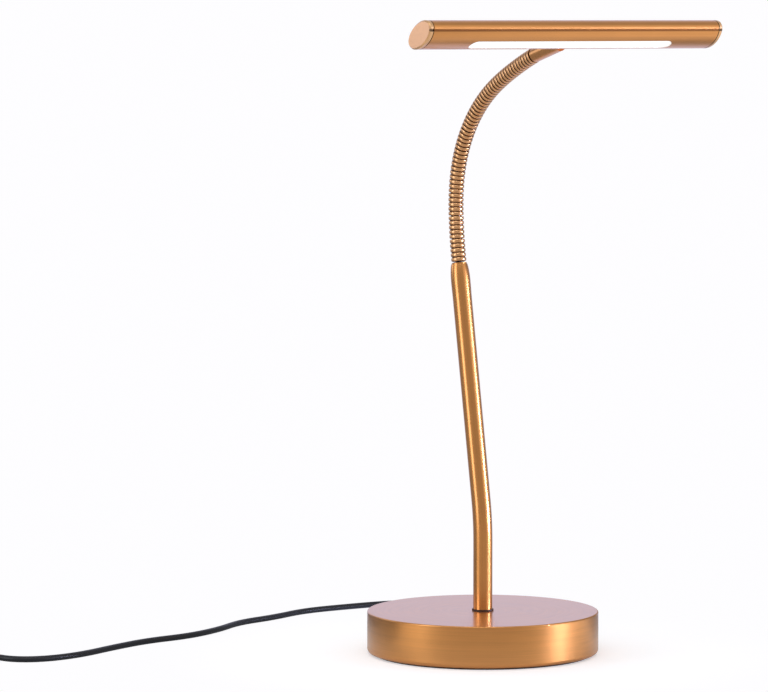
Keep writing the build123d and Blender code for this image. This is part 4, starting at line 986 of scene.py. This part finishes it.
cast_iron = plain("cast_iron", (0.05, 0.05, 0.052), 0.75, 0.8, 900.0, 0.9)
zinc_steel = plain("zinc_steel", (0.55, 0.56, 0.58), 0.32, 1.0, 700.0, 0.1, 0.08)
mill_aluminium = plain("mill_aluminium", (0.72, 0.73, 0.74), 0.36, 1.0, 500.0, 0.15, 0.06)
nylon = plain("nylon", (0.72, 0.71, 0.66), 0.45, 0.0, 500.0, 0.1, 0.05)
felt = plain("felt", (0.022, 0.022, 0.024), 0.95, 0.0, 2600.0, 1.0, 0.4)
soft_ring = plain("soft_ring", (0.05, 0.018, 0.012), 0.5, 0.0, 500.0, 0.1, 0.1)
driver_case = plain("driver_case", (0.03, 0.03, 0.033), 0.5, 0.0, 1200.0, 0.5)
board_mask = plain("board_mask", (0.80, 0.82, 0.84), 0.4, 0.0, 400.0, 0.1, 0.04)
phosphor = plain("phosphor", (0.85, 0.62, 0.08), 0.35, 0.0, 400.0, 0.1, 0.08)
contact_brass = plain("contact_brass", (0.70, 0.52, 0.20), 0.25, 1.0, 500.0, 0.1, 0.08)

WINDOW_GLOW = 0.60


def opal_window():
    """Opal plastic, evenly lit from behind."""
    finish = Finish("opal_window")
    haze = finish.noise(finish.place(), 70.0, 2.0)
    glow = finish.mix(haze, (1.0, 0.985, 0.955), (1.0, 0.995, 0.98))
    return finish.surface({
        "Base Color": (0.9, 0.9, 0.88),
        "Roughness": 0.35,
        "Emission Color": glow,
        "Emission Strength": WINDOW_GLOW,
    })


opal = opal_window()

FINISHES = {
    neck_brass: [f"neck_link_{number:02d}" for number in range(1, LINKS + 1)],
    shell_brass: ["upper_shell", "lower_shell"],
    spun_brass: ["base_shell"],
    pole_brass: ["pole"],
    polished_brass: ["neck_foot_fitting", "neck_end_fitting"],
    cap_brass: ["end_cap_left", "end_cap_right"],
    cast_iron: ["base_weight"],
    zinc_steel: [
        "base_plate", "plate_screws", "pole_bush", "pole_nipple", "nipple_washer", "nipple_nut",
        "clamp_screws", "board_screws", "neck_bracket", "bracket_screws", "spigot_clip",
        "switch_screws",
    ],
    mill_aluminium: ["heat_spreader"],
    nylon: ["terminal_block"],
    felt: ["foot_pad"],
    soft_ring: ["pole_gasket"],
    driver_case: ["light_driver", "cord_clamp"],
    board_mask: ["light_board"],
    phosphor: ["light_chips"],
    contact_brass: ["switch_contacts", "plug_blades"],
    cord_vinyl: ["supply_wires", "cord_inside", "lamp_lead"],
    moulded_vinyl: ["strain_relief", "plug_body"],
    switch_plastic: ["switch_base", "switch_cover"],
    rocker_plastic: ["switch_rocker"],
    opal: ["diffuser"],
}
for material, names in FINISHES.items():
    for name in names:
        node = frame["nodes"][name]
        node.data.materials.clear()
        node.data.materials.append(material)
print("finished nodes:", sum(len(names) for names in FINISHES.values()))
